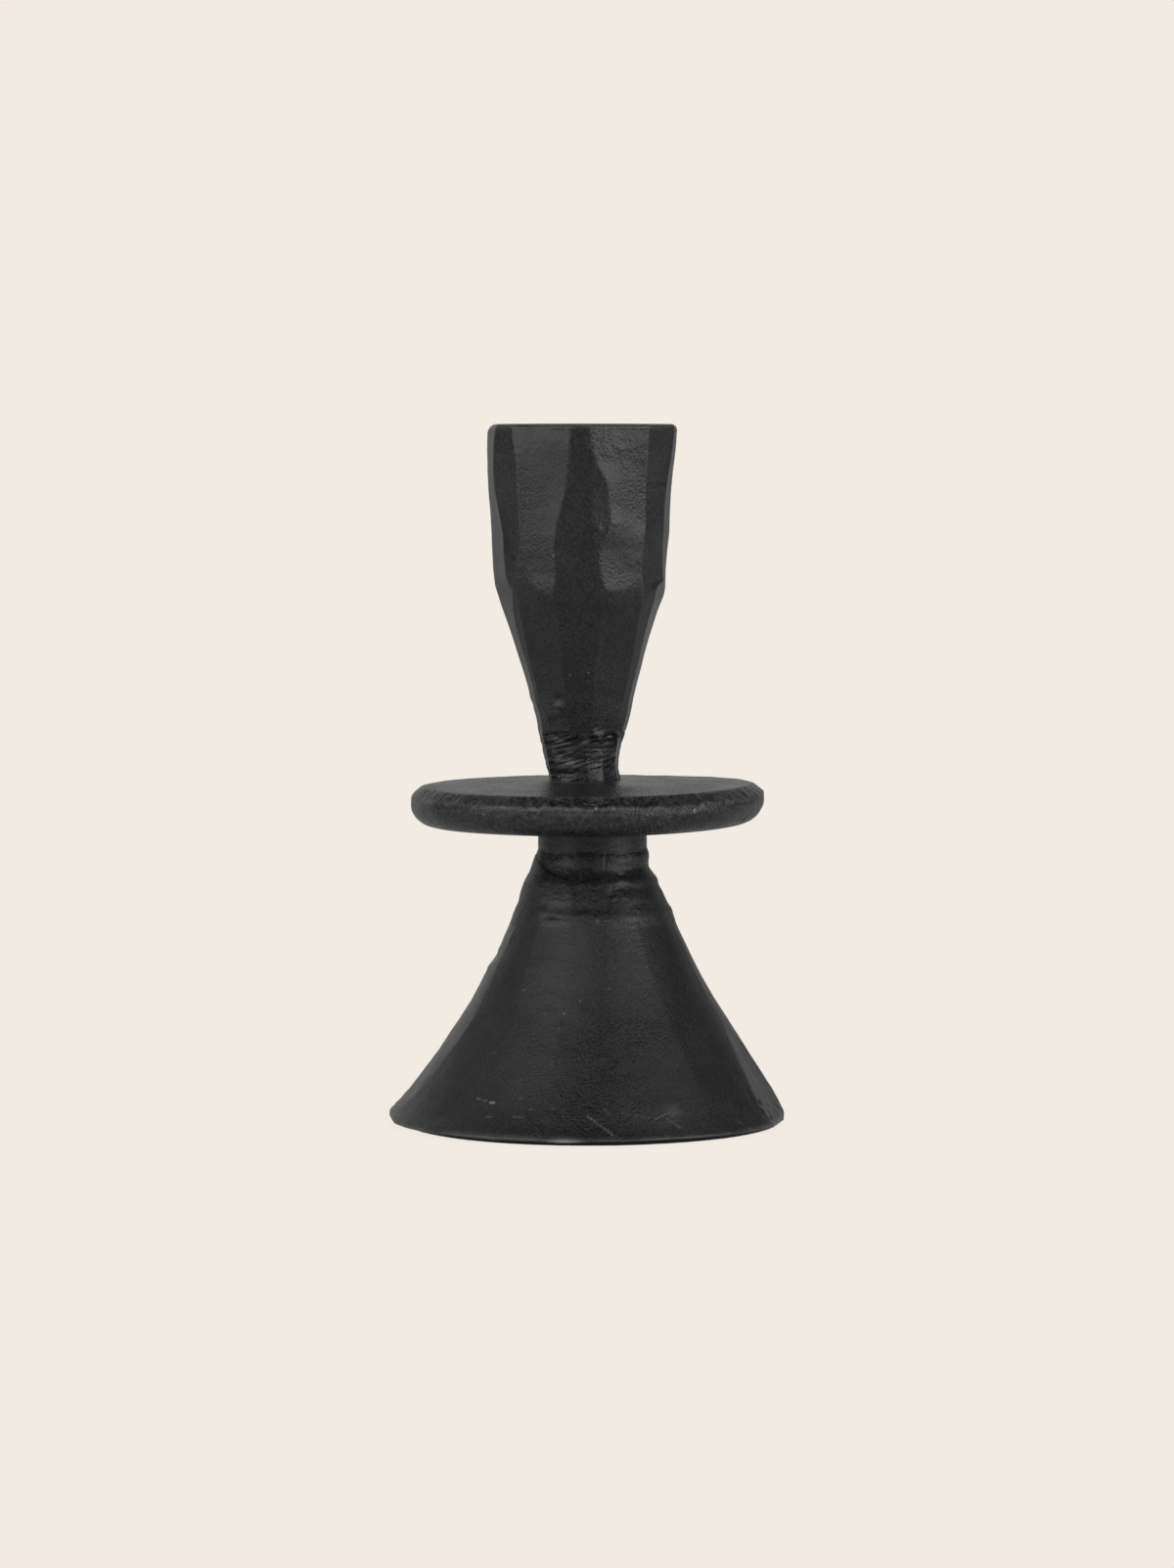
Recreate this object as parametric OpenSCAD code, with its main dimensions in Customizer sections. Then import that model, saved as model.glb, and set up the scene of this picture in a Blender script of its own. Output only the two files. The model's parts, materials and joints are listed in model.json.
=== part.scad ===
// Forged candle holder: a hammered cup on a tapering stem, a thick drip plate and a flared hollow foot.
// Millimetres. +Z is up, the table is z = 0 and the front faces -Y.
// Angles named "angles" or "azimuth" are counted from the front, positive towards the right.

/* [Felt pad] */
// Thickness of the felt under the foot
felt_t = 1; // [0.5:0.1:3]
// How far the felt stays inside the rim of the foot
felt_inset = 1.5; // [0.8:0.1:3]

/* [Foot] */
// Radius of the foot at its rim
foot_r = 40.6; // [34:0.2:50]
// Radius of the foot at its top edge
foot_top_r = 16.5; // [15:0.1:20]
// Height of the foot without the felt
foot_h = 40; // [30:0.5:60]
// Radius of the hollow curve that the foot flares along
flare_r = 180; // [120:5:400]
// Thickness of the sheet that the foot is rolled from
sheet_t = 2.5; // [1.5:0.1:3.5]
// Bevel on the lower corner of the rim
rim_edge = 0.8; // [0.3:0.1:1.5]
// How far the foot sits to the right of the middle of the table mark
foot_off = 0.6; // [0:0.1:1.2]
// How deep the large flat beaten into the right of the foot is, at the rim
flat_depth = 3; // [0.5:0.1:3.5]
// Height at which that flat runs out
flat_h = 23; // [12:0.5:28]
// Azimuth of that flat
flat_azimuth = 80; // [60:1:90]

/* [Seam of the foot] */
// Width of the welded butt seam of the sheet
seam_w = 2.4; // [1:0.1:5]
// Azimuth of the seam
seam_azimuth = -98; // [-120:1:-75]
// Radius of the pit left in the seam
pit_r = 0.9; // [0.3:0.1:1.5]
// Height of the pit above the lower edge of the foot
pit_h = 30.4; // [20:0.2:34]

/* [Bottom plate] */
// Thickness of the plate that closes the foot
bottom_t = 2; // [1:0.1:4]
// Gap between the bottom plate and the sheet
bottom_gap = 0.1; // [0.05:0.05:0.4]
// Number of tack welds that hold the bottom plate
tack_count = 4; // [3:1:4]
// Arc that each tack weld covers, in degrees
tack_arc = 12; // [6:1:16]

/* [Neck] */
// Radius of the bar between the foot and the drip plate
neck_r = 11.1; // [9:0.1:12.5]
// Height from the top edge of the foot to the drip plate
neck_show = 19.5; // [16:0.5:30]
// How far the bar reaches down inside the foot
neck_bury = 7; // [3:0.5:12]
// How far the bar sits to the right of the middle of the table mark
neck_off = 1.2; // [0:0.1:1.6]
// Height of the weld that is built up on the foot
neck_weld_h = 13; // [8:0.5:14.5]
// How proud the upper end of that weld stands of the bar
neck_weld_lip = 0.3; // [0.1:0.05:1]
// Height of the lumps in that weld
neck_weld_lump = 0.22; // [0:0.02:0.4]
// Leg of the fillet weld under the drip plate
plate_weld_leg = 1.6; // [0.8:0.1:2.4]

/* [Drip plate] */
// Radius of the drip plate at its widest
plate_r = 35.7; // [28:0.1:45]
// Thickness of the drip plate at its edge
plate_t = 8; // [5:0.1:12]
// Height of the crown in the middle of the plate
plate_dome = 1.5; // [0.3:0.1:3]
// Radius of the flat land that the stem stands on
land_r = 9.4; // [8.8:0.1:12]
// Width of the hammered bevel round the upper edge
bevel_w = 2.4; // [1:0.1:4]
// Height of that bevel
bevel_h = 2.1; // [1:0.1:2.6]
// Depth of the flats hammered into that bevel, where they meet
bevel_flat = 0.15; // [0.05:0.05:0.4]
// How far the underside draws in from the widest radius
under_w = 3.9; // [1:0.1:6]
// Height of the rounding below the widest radius
under_h = 3.2; // [1:0.1:3.6]

/* [Locating dowel] */
// Radius of the dowel
dowel_r = 2.5; // [1.5:0.1:3]
// Depth of its hole in the stem
dowel_up = 6; // [3:0.5:12]
// Depth of its hole in the neck bar
dowel_down = 8; // [4:0.5:14]
// Gap round the dowel
dowel_gap = 0.05; // [0.02:0.01:0.2]
// Gap above the dowel
dowel_end_gap = 0.4; // [0.1:0.1:1]

/* [Stem] */
// Height from the drip plate to the shoulder of the cup
stem_h = 38; // [28:0.5:60]
// Corner radius of the stem at its lower end
stem_foot_r = 8.75; // [7.4:0.05:9.2]
// Radius of the round tenon below the stem
tenon_r = 5.5; // [4.4:0.1:6]
// Height of the weld round the tenon
cup_weld_h = 9.5; // [5:0.5:14]
// Radius of that weld on the drip plate
cup_weld_r = 7.1; // [6.7:0.05:8.4]
// Height of the ripples in that weld
cup_weld_ripple = 0.12; // [0:0.02:0.25]
// Gap between a weld and the round bar inside it
weld_gap = 0.03; // [0.01:0.01:0.1]

/* [Cup] */
// Height from the shoulder to the top
cup_h = 33.8; // [28:0.2:50]
// Corner radius of the cup at the shoulder
shoulder_r = 17.35; // [16.2:0.05:20]
// Corner radius at the waist
waist_r = 18.1; // [16.8:0.05:21]
// Corner radius at the brow, where the flare of the rim starts
brow_r = 18.55; // [17.2:0.05:22]
// Corner radius of the rim
rim_r = 19.3; // [18:0.05:24]
// Size of the rounding over the rim
rim_round = 1.5; // [0.6:0.1:2.5]
// How far the cup sits to the left of the middle of the table mark
cup_off = 1; // [0:0.1:1.6]

/* [Socket] */
// Radius of the candle socket
socket_r = 11.3; // [9:0.1:12.5]
// Depth of the round wall of the socket
socket_depth = 25; // [15:0.5:32]
// Size of the chamfer at the mouth of the socket
socket_lead = 0.8; // [0.3:0.1:2]

/* [Hidden] */

$fn = 96;
over = 1;
flare_steps = 10;

iron = "#2b2b2c";
weld_iron = "#333334";
plate_iron = "#303031";
bare_steel = "#8c8d90";
felt_black = "#161617";

// Levels, from the table up
foot_z = felt_t;
foot_top_z = foot_z + foot_h;
plate_z = foot_top_z + neck_show;
plate_edge_z = plate_z + plate_t;
plate_top_z = plate_edge_z + plate_dome;
stem_foot_z = plate_top_z + cup_weld_h;
shoulder_z = plate_top_z + stem_h;
rim_z = shoulder_z + cup_h;

// The flare is an arc through the rim and the top edge of the foot, hollow side outwards
flare_low = [foot_r, foot_z + rim_edge];
flare_high = [foot_top_r, foot_top_z];
flare_chord = flare_high - flare_low;
flare_out = [flare_chord.y, -flare_chord.x] / norm(flare_chord);
flare_rise = sqrt(flare_r ^ 2 - (norm(flare_chord) / 2) ^ 2);
flare_centre = (flare_low + flare_high) / 2 + flare_rise * flare_out;

// Radius of the foot at a height, measured inset below its outer face
function foot_radius(z, inset) = flare_centre.x - sqrt((flare_r + inset) ^ 2 - (z - flare_centre.y) ^ 2);

flat_low_r = foot_r - flat_depth;
flat_high_r = foot_radius(foot_z + flat_h, 0);
flat_tilt = atan((flat_low_r - flat_high_r) / (flat_h - rim_edge));
bottom_r = foot_radius(foot_z + bottom_t, sheet_t) - bottom_gap;
tack_azimuth = 30;
tack_height_share = 0.6;

socket_point_h = socket_r / tan(59);
cut_block = 4 * (foot_r + plate_r);

// Corners of the fourteen flats of the cup, at four levels
rim_angles = [-90, -66, -44, -7, 5, 18, 44, 76, 98, 122, 148, 176, 207, 240];
waist_angles = [-90, -64, -43, -14, 9, 22, 46, 73, 97, 123, 150, 178, 208, 241];
shoulder_angles = [-88, -56, -46, -17, 8, 14, 48, 78, 100, 125, 152, 180, 210, 243];
stem_angles = [-92, -62, -34, -18, -3, 10, 28, 63, 95, 125, 152, 180, 212, 240];

// How far each corner reaches, as a share of the corner radius of its level
cup_corner_share = [1, 0.995, 1, 0.99, 1, 1, 0.995, 1, 1, 0.99, 1, 0.995, 1, 0.99];
stem_corner_share = [1, 0.875, 1, 0.887, 0.857, 0.88, 1, 1, 1, 0.878, 1, 0.866, 1, 0.883];

// Levels of the stem, as shares of its tapering height and of its growth in radius
stem_level_share = [[0, 0], [0.04, 0.037], [0.295, 0.238], [0.586, 0.512], [0.88, 0.835]];
waist_share = 0.36;
brow_share = 0.62;
// Points down the rounding of the rim, as shares of its size: drop and draw-in
rim_round_share = [[1, 0], [0.3, 0.28], [0, 0.85]];

cup_weld_levels = 9;
// Levels of the weld on the foot, as shares of its height and of its growth in radius
neck_weld_share = [[0, 1], [0.2, 0.79], [0.38, 0.63], [0.55, 0.47], [0.7, 0.31], [0.84, 0.11], [1, 0]];
neck_weld_corners = 28;

// Azimuth at which each two flats on the bevel of the drip plate meet
bevel_angles = [-97, -80, -62, -46, -29, -12, 4, 23, 41, 58, 75, 94, 112, 130, 148, 167, 185, 204, 224, 242];
// Edge of the drip plate: shares of the under width and height, and of the bevel width
under_round_share = [[1, 0], [0.45, 0.3], [0.12, 0.72]];
bulge_share = 0.55;
bevel_foot_share = 0.15;
crown_share = [0.55, 0.75];

// Value between two others
function between(low, high, share) = low + (high - low) * share;
function between_each(low, high, share) = [for (i = [0:len(low) - 1]) between(low[i], high[i], share)];

// Ring of corners about a centre line that is shifted along X
function ring(shift, z, radius, angles, reach) =
    [for (i = [0:len(angles) - 1])
        [shift + radius * reach[i] * sin(angles[i]), -radius * reach[i] * cos(angles[i]), z]];

// Closed skin over rings with the same number of corners, lowest ring first
module loft(rings) {
    corners = len(rings[0]);
    last = len(rings) - 1;
    sides = [
        for (level = [0:last - 1])
        for (i = [0:corners - 1])
        let (low = level * corners, high = low + corners, next = (i + 1) % corners)
        each [[low + i, high + i, high + next], [low + i, high + next, low + next]]
    ];
    underside = [[for (i = [0:corners - 1]) i]];
    top = [[for (i = [corners - 1:-1:0]) last * corners + i]];
    polyhedron([for (one = rings) each one], concat(underside, sides, top));
}

// Everything beyond a plane that faces an azimuth and leans up by a tilt
module beyond_plane(azimuth, reach, z, tilt) {
    rotate([0, 0, azimuth - 90])
        translate([reach, 0, z])
            rotate([0, -tilt, 0])
                translate([0, -cut_block / 2, -cut_block / 2])
                    cube(cut_block);
}

// Rings of the forged stem and cup, with the hammered flats running from one to the next
function stem_rings() = [
    for (level = stem_level_share)
    ring(
        -cup_off,
        between(stem_foot_z, shoulder_z, level[0]),
        between(stem_foot_r, shoulder_r, level[1]),
        between_each(stem_angles, shoulder_angles, level[0]),
        between_each(stem_corner_share, cup_corner_share, level[0])
    )
];
function cup_rings() = [
    ring(-cup_off, shoulder_z, shoulder_r, shoulder_angles, cup_corner_share),
    ring(-cup_off, shoulder_z + cup_h * waist_share, waist_r, waist_angles, cup_corner_share),
    ring(
        -cup_off,
        shoulder_z + cup_h * brow_share,
        brow_r,
        between_each(waist_angles, rim_angles, 0.4),
        cup_corner_share
    )
];
function rim_rings() = [
    for (point = rim_round_share)
    ring(-cup_off, rim_z - rim_round * point[0], rim_r - rim_round * point[1], rim_angles, cup_corner_share)
];

// Socket for the candle: a drilled hole with a drill point and a chamfered mouth
module socket() {
    translate([-cup_off, 0, rim_z - socket_depth])
        cylinder(r = socket_r, h = socket_depth + over);
    translate([-cup_off, 0, rim_z - socket_depth - socket_point_h])
        cylinder(r1 = 0, r2 = socket_r, h = socket_point_h);
    translate([-cup_off, 0, rim_z - socket_lead])
        cylinder(r1 = socket_r, r2 = socket_r + socket_lead + over, h = socket_lead + over);
}

module candle_cup() {
    color(iron)
    difference() {
        union() {
            loft(concat(stem_rings(), cup_rings(), rim_rings()));
            translate([-cup_off, 0, plate_top_z])
                cylinder(r = tenon_r, h = cup_weld_h + over);
        }
        socket();
        translate([0, 0, plate_top_z - over])
            cylinder(r = dowel_r + dowel_gap, h = dowel_up + over);
    }
}

// Weld round the tenon, filed down flush with the corners of the stem
function cup_weld_rings() = [
    for (level = [0:cup_weld_levels - 1])
    let (
        share = level / (cup_weld_levels - 1),
        ripple = share > 0 && share < 1 ? cup_weld_ripple * cos(180 * level) : 0
    )
    ring(
        -cup_off,
        between(plate_top_z, stem_foot_z, share),
        between(cup_weld_r, stem_foot_r, share ^ 2) + ripple,
        stem_angles,
        between_each([for (reach = stem_corner_share) (1 + reach) / 2], stem_corner_share, share)
    )
];

module cup_weld() {
    color(weld_iron)
    difference() {
        loft(cup_weld_rings());
        translate([-cup_off, 0, plate_top_z - over])
            cylinder(r = tenon_r + weld_gap, h = cup_weld_h + 2 * over);
    }
}

// Section of the drip plate, from the axis out
function drip_plate_outline() = concat(
    [[0, plate_z]],
    [for (point = under_round_share) [plate_r - under_w * point[0], plate_z + under_h * point[1]]],
    [
        [plate_r, plate_z + plate_t * bulge_share],
        [plate_r - bevel_w * bevel_foot_share, plate_edge_z - bevel_h],
        [plate_r - bevel_w, plate_edge_z],
        [between(land_r, plate_r - bevel_w, crown_share[0]), plate_edge_z + plate_dome * crown_share[1]],
        [land_r, plate_top_z],
        [0, plate_top_z]
    ]
);

// Block with one sloping side for each flat hammered into the bevel of the drip plate
module bevel_block() {
    slope = bevel_w * (1 - bevel_foot_share) / bevel_h;
    reach = [for (angle = bevel_angles) 1];
    loft([
        for (z = [plate_z - over, plate_top_z + over])
        ring(0, z, plate_r - bevel_w - bevel_flat + slope * (plate_edge_z - z), bevel_angles, reach)
    ]);
}

module drip_plate() {
    color(plate_iron)
    difference() {
        intersection() {
            rotate_extrude()
                polygon(drip_plate_outline());
            bevel_block();
        }
        translate([0, 0, plate_z - over])
            cylinder(r = dowel_r + dowel_gap, h = plate_t + plate_dome + 2 * over);
    }
}

module plate_weld() {
    inner_r = neck_r + weld_gap;
    color(weld_iron)
    translate([neck_off, 0, plate_z])
        rotate_extrude()
            polygon([[inner_r, -plate_weld_leg], [inner_r + plate_weld_leg, 0], [inner_r, 0]]);
}

module centre_dowel() {
    color(bare_steel)
    translate([0, 0, plate_z - dowel_down])
        cylinder(r = dowel_r, h = dowel_down + plate_t + plate_dome + dowel_up - dowel_end_gap);
}

module neck_bar() {
    color(iron)
    difference() {
        translate([neck_off, 0, foot_top_z - neck_bury])
            cylinder(r = neck_r, h = neck_bury + neck_show);
        translate([0, 0, plate_z - dowel_down])
            cylinder(r = dowel_r + dowel_gap, h = dowel_down + over);
    }
}

// Wavy surface of a weld built up by hand: from -1 to 1 round the bar and up its height
function lump(angle, level) = (sin(3 * angle + 70 * level) + sin(5 * angle - 110 * level)) / 2;

function neck_weld_rings() = [
    for (level = [0:len(neck_weld_share) - 1])
    let (
        height = neck_weld_share[level][0],
        growth = neck_weld_share[level][1],
        radius = between(neck_r + neck_weld_lip, foot_top_r, growth),
        wave = neck_weld_lump * 4 * height * (1 - height),
        shift = between(foot_off, neck_off, height)
    )
    [
        for (i = [0:neck_weld_corners - 1])
        let (angle = 360 * i / neck_weld_corners, reach = radius + wave * lump(angle, level))
        [shift + reach * sin(angle), -reach * cos(angle), foot_top_z + neck_weld_h * height]
    ]
];

module neck_weld() {
    color(weld_iron)
    difference() {
        loft(neck_weld_rings());
        translate([neck_off, 0, foot_top_z - over])
            cylinder(r = neck_r + weld_gap, h = neck_weld_h + 2 * over);
    }
}

// Points up the flare of a face that lies inset below the outer face of the foot
function flare(low, high, inset) = [
    for (step = [0:flare_steps])
    let (z = between(low, high, step / flare_steps))
    [foot_radius(z, inset), z]
];

// Outer face of the foot, with the bevel of the rim, and inner face, running past both ends
function foot_outline() = concat(
    [[0, foot_z], [foot_r - rim_edge, foot_z]],
    flare(foot_z + rim_edge, foot_top_z, 0),
    [[0, foot_top_z]]
);
function hollow_outline() = concat(
    [[0, foot_z - over]],
    flare(foot_z - over, foot_top_z + over, sheet_t),
    [[0, foot_top_z + over]]
);

// What the large flat takes away from a face of the foot that lies inset below the outer one
module foot_flat(inset) {
    intersection() {
        beyond_plane(flat_azimuth, flat_low_r - inset / cos(flat_tilt), foot_z + rim_edge, flat_tilt);
        translate([-cut_block / 2, -cut_block / 2, foot_z + flat_h - inset * sin(flat_tilt) - cut_block])
            cube(cut_block);
    }
}

module foot_body(outline, inset) {
    translate([foot_off, 0, 0])
        difference() {
            rotate_extrude()
                polygon(outline);
            foot_flat(inset);
        }
}

module foot_shell() {
    difference() {
        foot_body(foot_outline(), 0);
        foot_body(hollow_outline(), sheet_t);
    }
}

// Slot in the sheet that the seam weld fills
module seam_slot() {
    translate([foot_off, 0, foot_z - over])
        rotate([0, 0, seam_azimuth - 90])
            translate([0, -seam_w / 2, 0])
                cube([foot_r + over, seam_w, foot_h + 2 * over]);
}

module foot_cone() {
    color(iron)
    difference() {
        foot_shell();
        seam_slot();
    }
}

module seam_weld() {
    color(weld_iron)
    difference() {
        intersection() {
            foot_shell();
            seam_slot();
        }
        translate([foot_off, 0, 0])
            rotate([0, 0, seam_azimuth - 90])
                translate([foot_radius(foot_z + pit_h, 0) + pit_r / 2, 0, foot_z + pit_h])
                    sphere(r = pit_r, $fn = 32);
    }
}

module bottom_plate() {
    color(bare_steel)
    difference() {
        translate([foot_off, 0, foot_z])
            cylinder(r = bottom_r, h = bottom_t);
        translate([foot_off, 0, 0])
            foot_flat(sheet_t + bottom_gap);
    }
}

module tack_welds() {
    inner_r = bottom_r + weld_gap;
    outer_r = foot_radius(foot_z, sheet_t) - weld_gap;
    color(weld_iron)
    for (i = [0:tack_count - 1])
        translate([foot_off, 0, foot_z])
            rotate([0, 0, tack_azimuth - 90 - tack_arc / 2 + 360 * i / tack_count])
                rotate_extrude(angle = tack_arc)
                    polygon([[inner_r, 0], [outer_r, 0], [inner_r, bottom_t * tack_height_share]]);
}

module felt_pad() {
    color(felt_black)
    difference() {
        translate([foot_off, 0, 0])
            cylinder(r = foot_r - felt_inset, h = felt_t);
        translate([foot_off, 0, 0])
            beyond_plane(flat_azimuth, flat_low_r - felt_inset / 2, foot_z, 0);
    }
}

candle_cup();
cup_weld();
drip_plate();
plate_weld();
centre_dowel();
neck_bar();
neck_weld();
foot_cone();
seam_weld();
bottom_plate();
tack_welds();
felt_pad();
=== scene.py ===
# Looks of the forged candle holder. +Z is up, the table is z = 0 and the front faces -Y.
# Shapes are worked out in millimetres. Azimuths are counted from the front, positive towards the right.
import json
import math
from itertools import pairwise, product

import bpy
import numpy as np
from mathutils import Euler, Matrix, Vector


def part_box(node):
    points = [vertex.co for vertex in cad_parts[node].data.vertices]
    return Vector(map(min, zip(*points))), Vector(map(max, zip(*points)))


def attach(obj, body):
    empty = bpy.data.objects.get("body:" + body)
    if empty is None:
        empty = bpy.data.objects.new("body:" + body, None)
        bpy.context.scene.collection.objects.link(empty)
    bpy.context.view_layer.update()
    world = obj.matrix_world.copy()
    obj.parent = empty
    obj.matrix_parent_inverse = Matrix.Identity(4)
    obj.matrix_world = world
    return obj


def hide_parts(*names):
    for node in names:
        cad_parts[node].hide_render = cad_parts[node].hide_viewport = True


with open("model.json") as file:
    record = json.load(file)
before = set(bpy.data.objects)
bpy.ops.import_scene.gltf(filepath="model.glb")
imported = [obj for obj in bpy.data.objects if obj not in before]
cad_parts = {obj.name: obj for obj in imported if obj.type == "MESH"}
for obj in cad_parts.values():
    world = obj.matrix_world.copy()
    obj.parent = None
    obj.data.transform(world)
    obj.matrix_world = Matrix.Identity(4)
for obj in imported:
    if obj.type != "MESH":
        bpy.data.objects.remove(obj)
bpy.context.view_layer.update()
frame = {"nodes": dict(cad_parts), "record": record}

MM = 0.001
BODY = "root"

# The picture's frame and the camera that took it
CAMERA_PLACE = (0.0001, -1.18, 0.1485)
CAMERA_DOWN = 3.86
CAMERA_LENS = 133.8
CAMERA_SENSOR = 36
CAMERA_CLIP = (0.01, 50)

# Backdrop and floor, in linear light
BACKDROP = (0.888, 0.831, 0.768)
FLOOR_SIZE = 3
FLOOR_GLOW = 0.42
# Painted contact shadow: ambient occlusion dims the floor's glow near the foot.
PAINTED_SHADOW_REACH = 0.015
PAINTED_SHADOW_DEPTH = 0.05
PAINTED_SHADOW_SAMPLES = 8

# Softboxes: azimuth, elevation, half width in degrees, strength
SOFTBOXES = {
    "key": (60, 0, 32, 3.75),
    "fill": (-60, 0, 32, 2.4),
    "front": (0, 0, 32, 0.34),
    "front_right": (30, 0, 32, 0.18),
    "high_right": (45, 38, 32, 0.87),
    "high_left": (-45, 38, 32, 0.95),
    "high_front": (-15, 38, 32, 0.68),
    "high_side_left": (-95, 38, 36, 0.43),
    "high_side_right": (90, 38, 36, 0.28),
    "back_left": (-165, 38, 32, 0.51),
    "back_right": (160, 38, 32, 0.33),
    "low_back": (180, 9, 20, 0.44),
    "low_back_right": (150, 0, 32, 0.32),
    "low_back_left": (-145, 0, 34, 0.54),
    "low_right": (115, 0, 30, 0.07),
}
ROOM_GLOW = 0.005

# Finishes: colour, colour where worn or painted with sheen, roughness, depth of the grit, depth of the file
# lines, speckle, scuffs
IRON = (0.01, 0.01, 0.0102)
PLATE_IRON = (0.006, 0.006, 0.0062)
WEAR_AND_SHEEN_IRON = (0.3, 0.3, 0.295)
STEEL = (0.3, 0.3, 0.31)
WORN_STEEL = (0.45, 0.45, 0.46)
FELT = (0.008, 0.008, 0.008)
WORN_FELT = (0.01, 0.01, 0.01)
FINISHES = {
    "forged_iron": (IRON, WEAR_AND_SHEEN_IRON, 0.37, 0.05, 0.006, 0.8, 0),
    "hammered_iron": (IRON, WEAR_AND_SHEEN_IRON, 0.37, 0.06, 0.006, 1.6, 0.02),
    "forged_plate_iron": (PLATE_IRON, WEAR_AND_SHEEN_IRON, 0.35, 0.13, 0.03, 2.0, 0.12),
    "weld_iron": (IRON, WEAR_AND_SHEEN_IRON, 0.35, 0.05, 0.03, 1.4, 0.02),
    "rough_weld_iron": (IRON, WEAR_AND_SHEEN_IRON, 0.44, 0.06, 0.02, 1.6, 0.05),
    "bare_steel": (STEEL, WORN_STEEL, 0.36, 0.02, 0.004, 0.8, 0),
    "black_felt": (FELT, WORN_FELT, 0.9, 0.1, 0.02, 0.8, 0),
}
# Each piece's finish, its slot in the record and the CAD node that it stands for
PIECES = {
    "cup": ("hammered_iron", "forged_iron", "candle_cup"),
    "cup_weld_bead": ("weld_iron", "weld_iron", "cup_weld"),
    "drip_plate_forged": ("forged_plate_iron", "forged_iron", "drip_plate"),
    "plate_weld_bead": ("weld_iron", "weld_iron", "plate_weld"),
    "neck": ("rough_weld_iron", "forged_iron", "neck_bar"),
    "foot_shell": ("forged_iron", "forged_iron", "foot_cone"),
    "neck_weld_bead": ("rough_weld_iron", "weld_iron", "neck_weld"),
    "seam_bead": ("weld_iron", "weld_iron", "seam_weld"),
    "felt_disc": ("black_felt", "black_felt", "felt_pad"),
}
CAD_FINISHES = {"centre_dowel": "bare_steel", "bottom_plate": "bare_steel", "tack_welds": "weld_iron"}

# Grain of the finishes in millimetres. File lines are noise drawn out sideways.
BLOTCH_SIZE = 6.5
PATCH_SIZE = 11
FOLD_SIZE = 0.9
FINE_SIZE = 0.5
SCUFF_SIZE = 0.9
LINE_SIZE = 0.42
LINE_STRETCH = (0.12, 0.12, 1)
DUST_SPACING = 4
# Where nearly all of the noise lies, and what it does
BLOTCH_BAND = (0.3, 0.7)
FINE_BAND = (0.36, 0.64)
SCUFF_BAND = (0.48, 0.72)
TONE_SWING = 0.28
ROUGH_SWING = 0.04
# Where the patches are smooth or gritty, and the shares of the grit's depth there
GRIT_BAND = (0.4, 0.62)
GRIT_SHARES = (0.6, 1.8)
# Wear of proud edges, more on some blotches than on others, and specks of dust by share of their spacing
RIDGE_BAND = (0.03, 0.16)
RIDGE_WEAR = 0.25
RUBBED_BAND = (0.35, 0.6)
RUBBED_LEAST = 0.25
DUST_BAND = (0.015, 0.03)
DUST_WEAR = 0.35

# Tables of noise repeat after this many cells, and stand askew to the rings
LATTICE = 61
ASKEW = np.array(Euler((0.6, 0.5, 0.4)).to_matrix())
# Unevenness of the shapes: each layer's reach, width of bumps and seed. A width for each axis makes ripples.
NOISE = {
    "cup": [(0.05, 7, 11), (0.03, 2.6, 12)],
    "cup_pits": [(0.034, 0.95, 13)],
    "burr": [(0.05, 2.2, 14)],
    "burr_worn": [(1, 1.6, 16)],
    "cup_face": [(0.06, 2.5, 15)],
    "cup_weld": [(0.1, 3.2, 24), (0.05, 1.3, 25)],
    "cup_weld_top": [(0.9, 2.6, 21), (0.3, 1.1, 22)],
    "filed": [(0.35, 2.4, 23)],
    "ripples": [(0.15, (1.8, 1.8, 0.42), 26)],
    "sheen_patches": [(1.3, (1.8, 1.8, 0.34), 27)],
    "bevel_width": [(0.25, 8, 31), (0.16, 1.6, 32)],
    "bevel_depth": [(0.25, 5, 33), (0.16, 1.4, 34)],
    "bevel_lip": [(0.12, 2.4, 35)],
    "bevel": [(0.15, 1.5, 39), (0.19, 0.8, 40)],
    "lip_highlight": [(1, 3, 43), (0.7, 0.9, 44)],
    "plate_side": [(0.12, 9, 37), (0.08, 2.4, 38), (0.05, (1.6, 1.6, 0.7), 46)],
    "plate_top": [(0.06, 5, 41), (0.03, 1.3, 42)],
    "plate_top_fine": [(0.02, (0.7, 1.4, 1), 45), (0.05, 2.4, 47)],
    "plate_weld": [(0.06, 1.2, 81)],
    "neck": [(0.07, 5, 51), (0.04, (2.2, 2.2, 0.7), 52), (0.03, 1.1, 53)],
    "neck_weld": [(0.04, 1.3, 66), (0.03, (2, 2, 0.6), 67)],
    "lumps": [(0.14, 7, 64), (0.1, 3, 65)],
    "lumps_rough": [(0.08, 0.9, 82), (0.06, (1.6, 1.6, 0.5), 83)],
    "neck_weld_top": [(1.2, 3, 68), (0.5, 1.1, 70)],
    "neck_weld_edge": [(0.6, 4.5, 63)],
    "crease": [(0.35, 3.2, 61), (0.2, 1.2, 62)],
    "crease_width": [(0.22, 3.5, 69)],
    "bent": [(0.2, 16, 71)],
    "foot": [(0.09, 7.5, 72), (0.04, 2.6, 73)],
    "gritty": [(1, 9, 74)],
    "grit": [(1, 1.1, 75)],
    "beaten": [(0.035, 1, 82), (0.07, 2.8, 83)],
    "rim": [(0.08, 1.6, 78)],
    "rim_worn": [(1, 4, 76), (0.6, 1.2, 77)],
    "rim_drop": [(0.5, 9, 79)],
    "seam": [(0.07, 1.4, 80)],
    "felt": [(0.12, 1.6, 91), (0.2, 12, 92)],
}
# Each mesh says how proud its points are, and how much wear or painted sheen they have. Proud is measured
# against its blurred shape.
ATTRIBUTES = ("ridge", "wear_and_sheen")
RIDGE_BLUR = 8

# Outlines give the height, left end and right end. Marks give the azimuth, height, half width, half height,
# how far they stand out and, if they are worn, how much, up to 1. Rough places give the first four of these.

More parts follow.
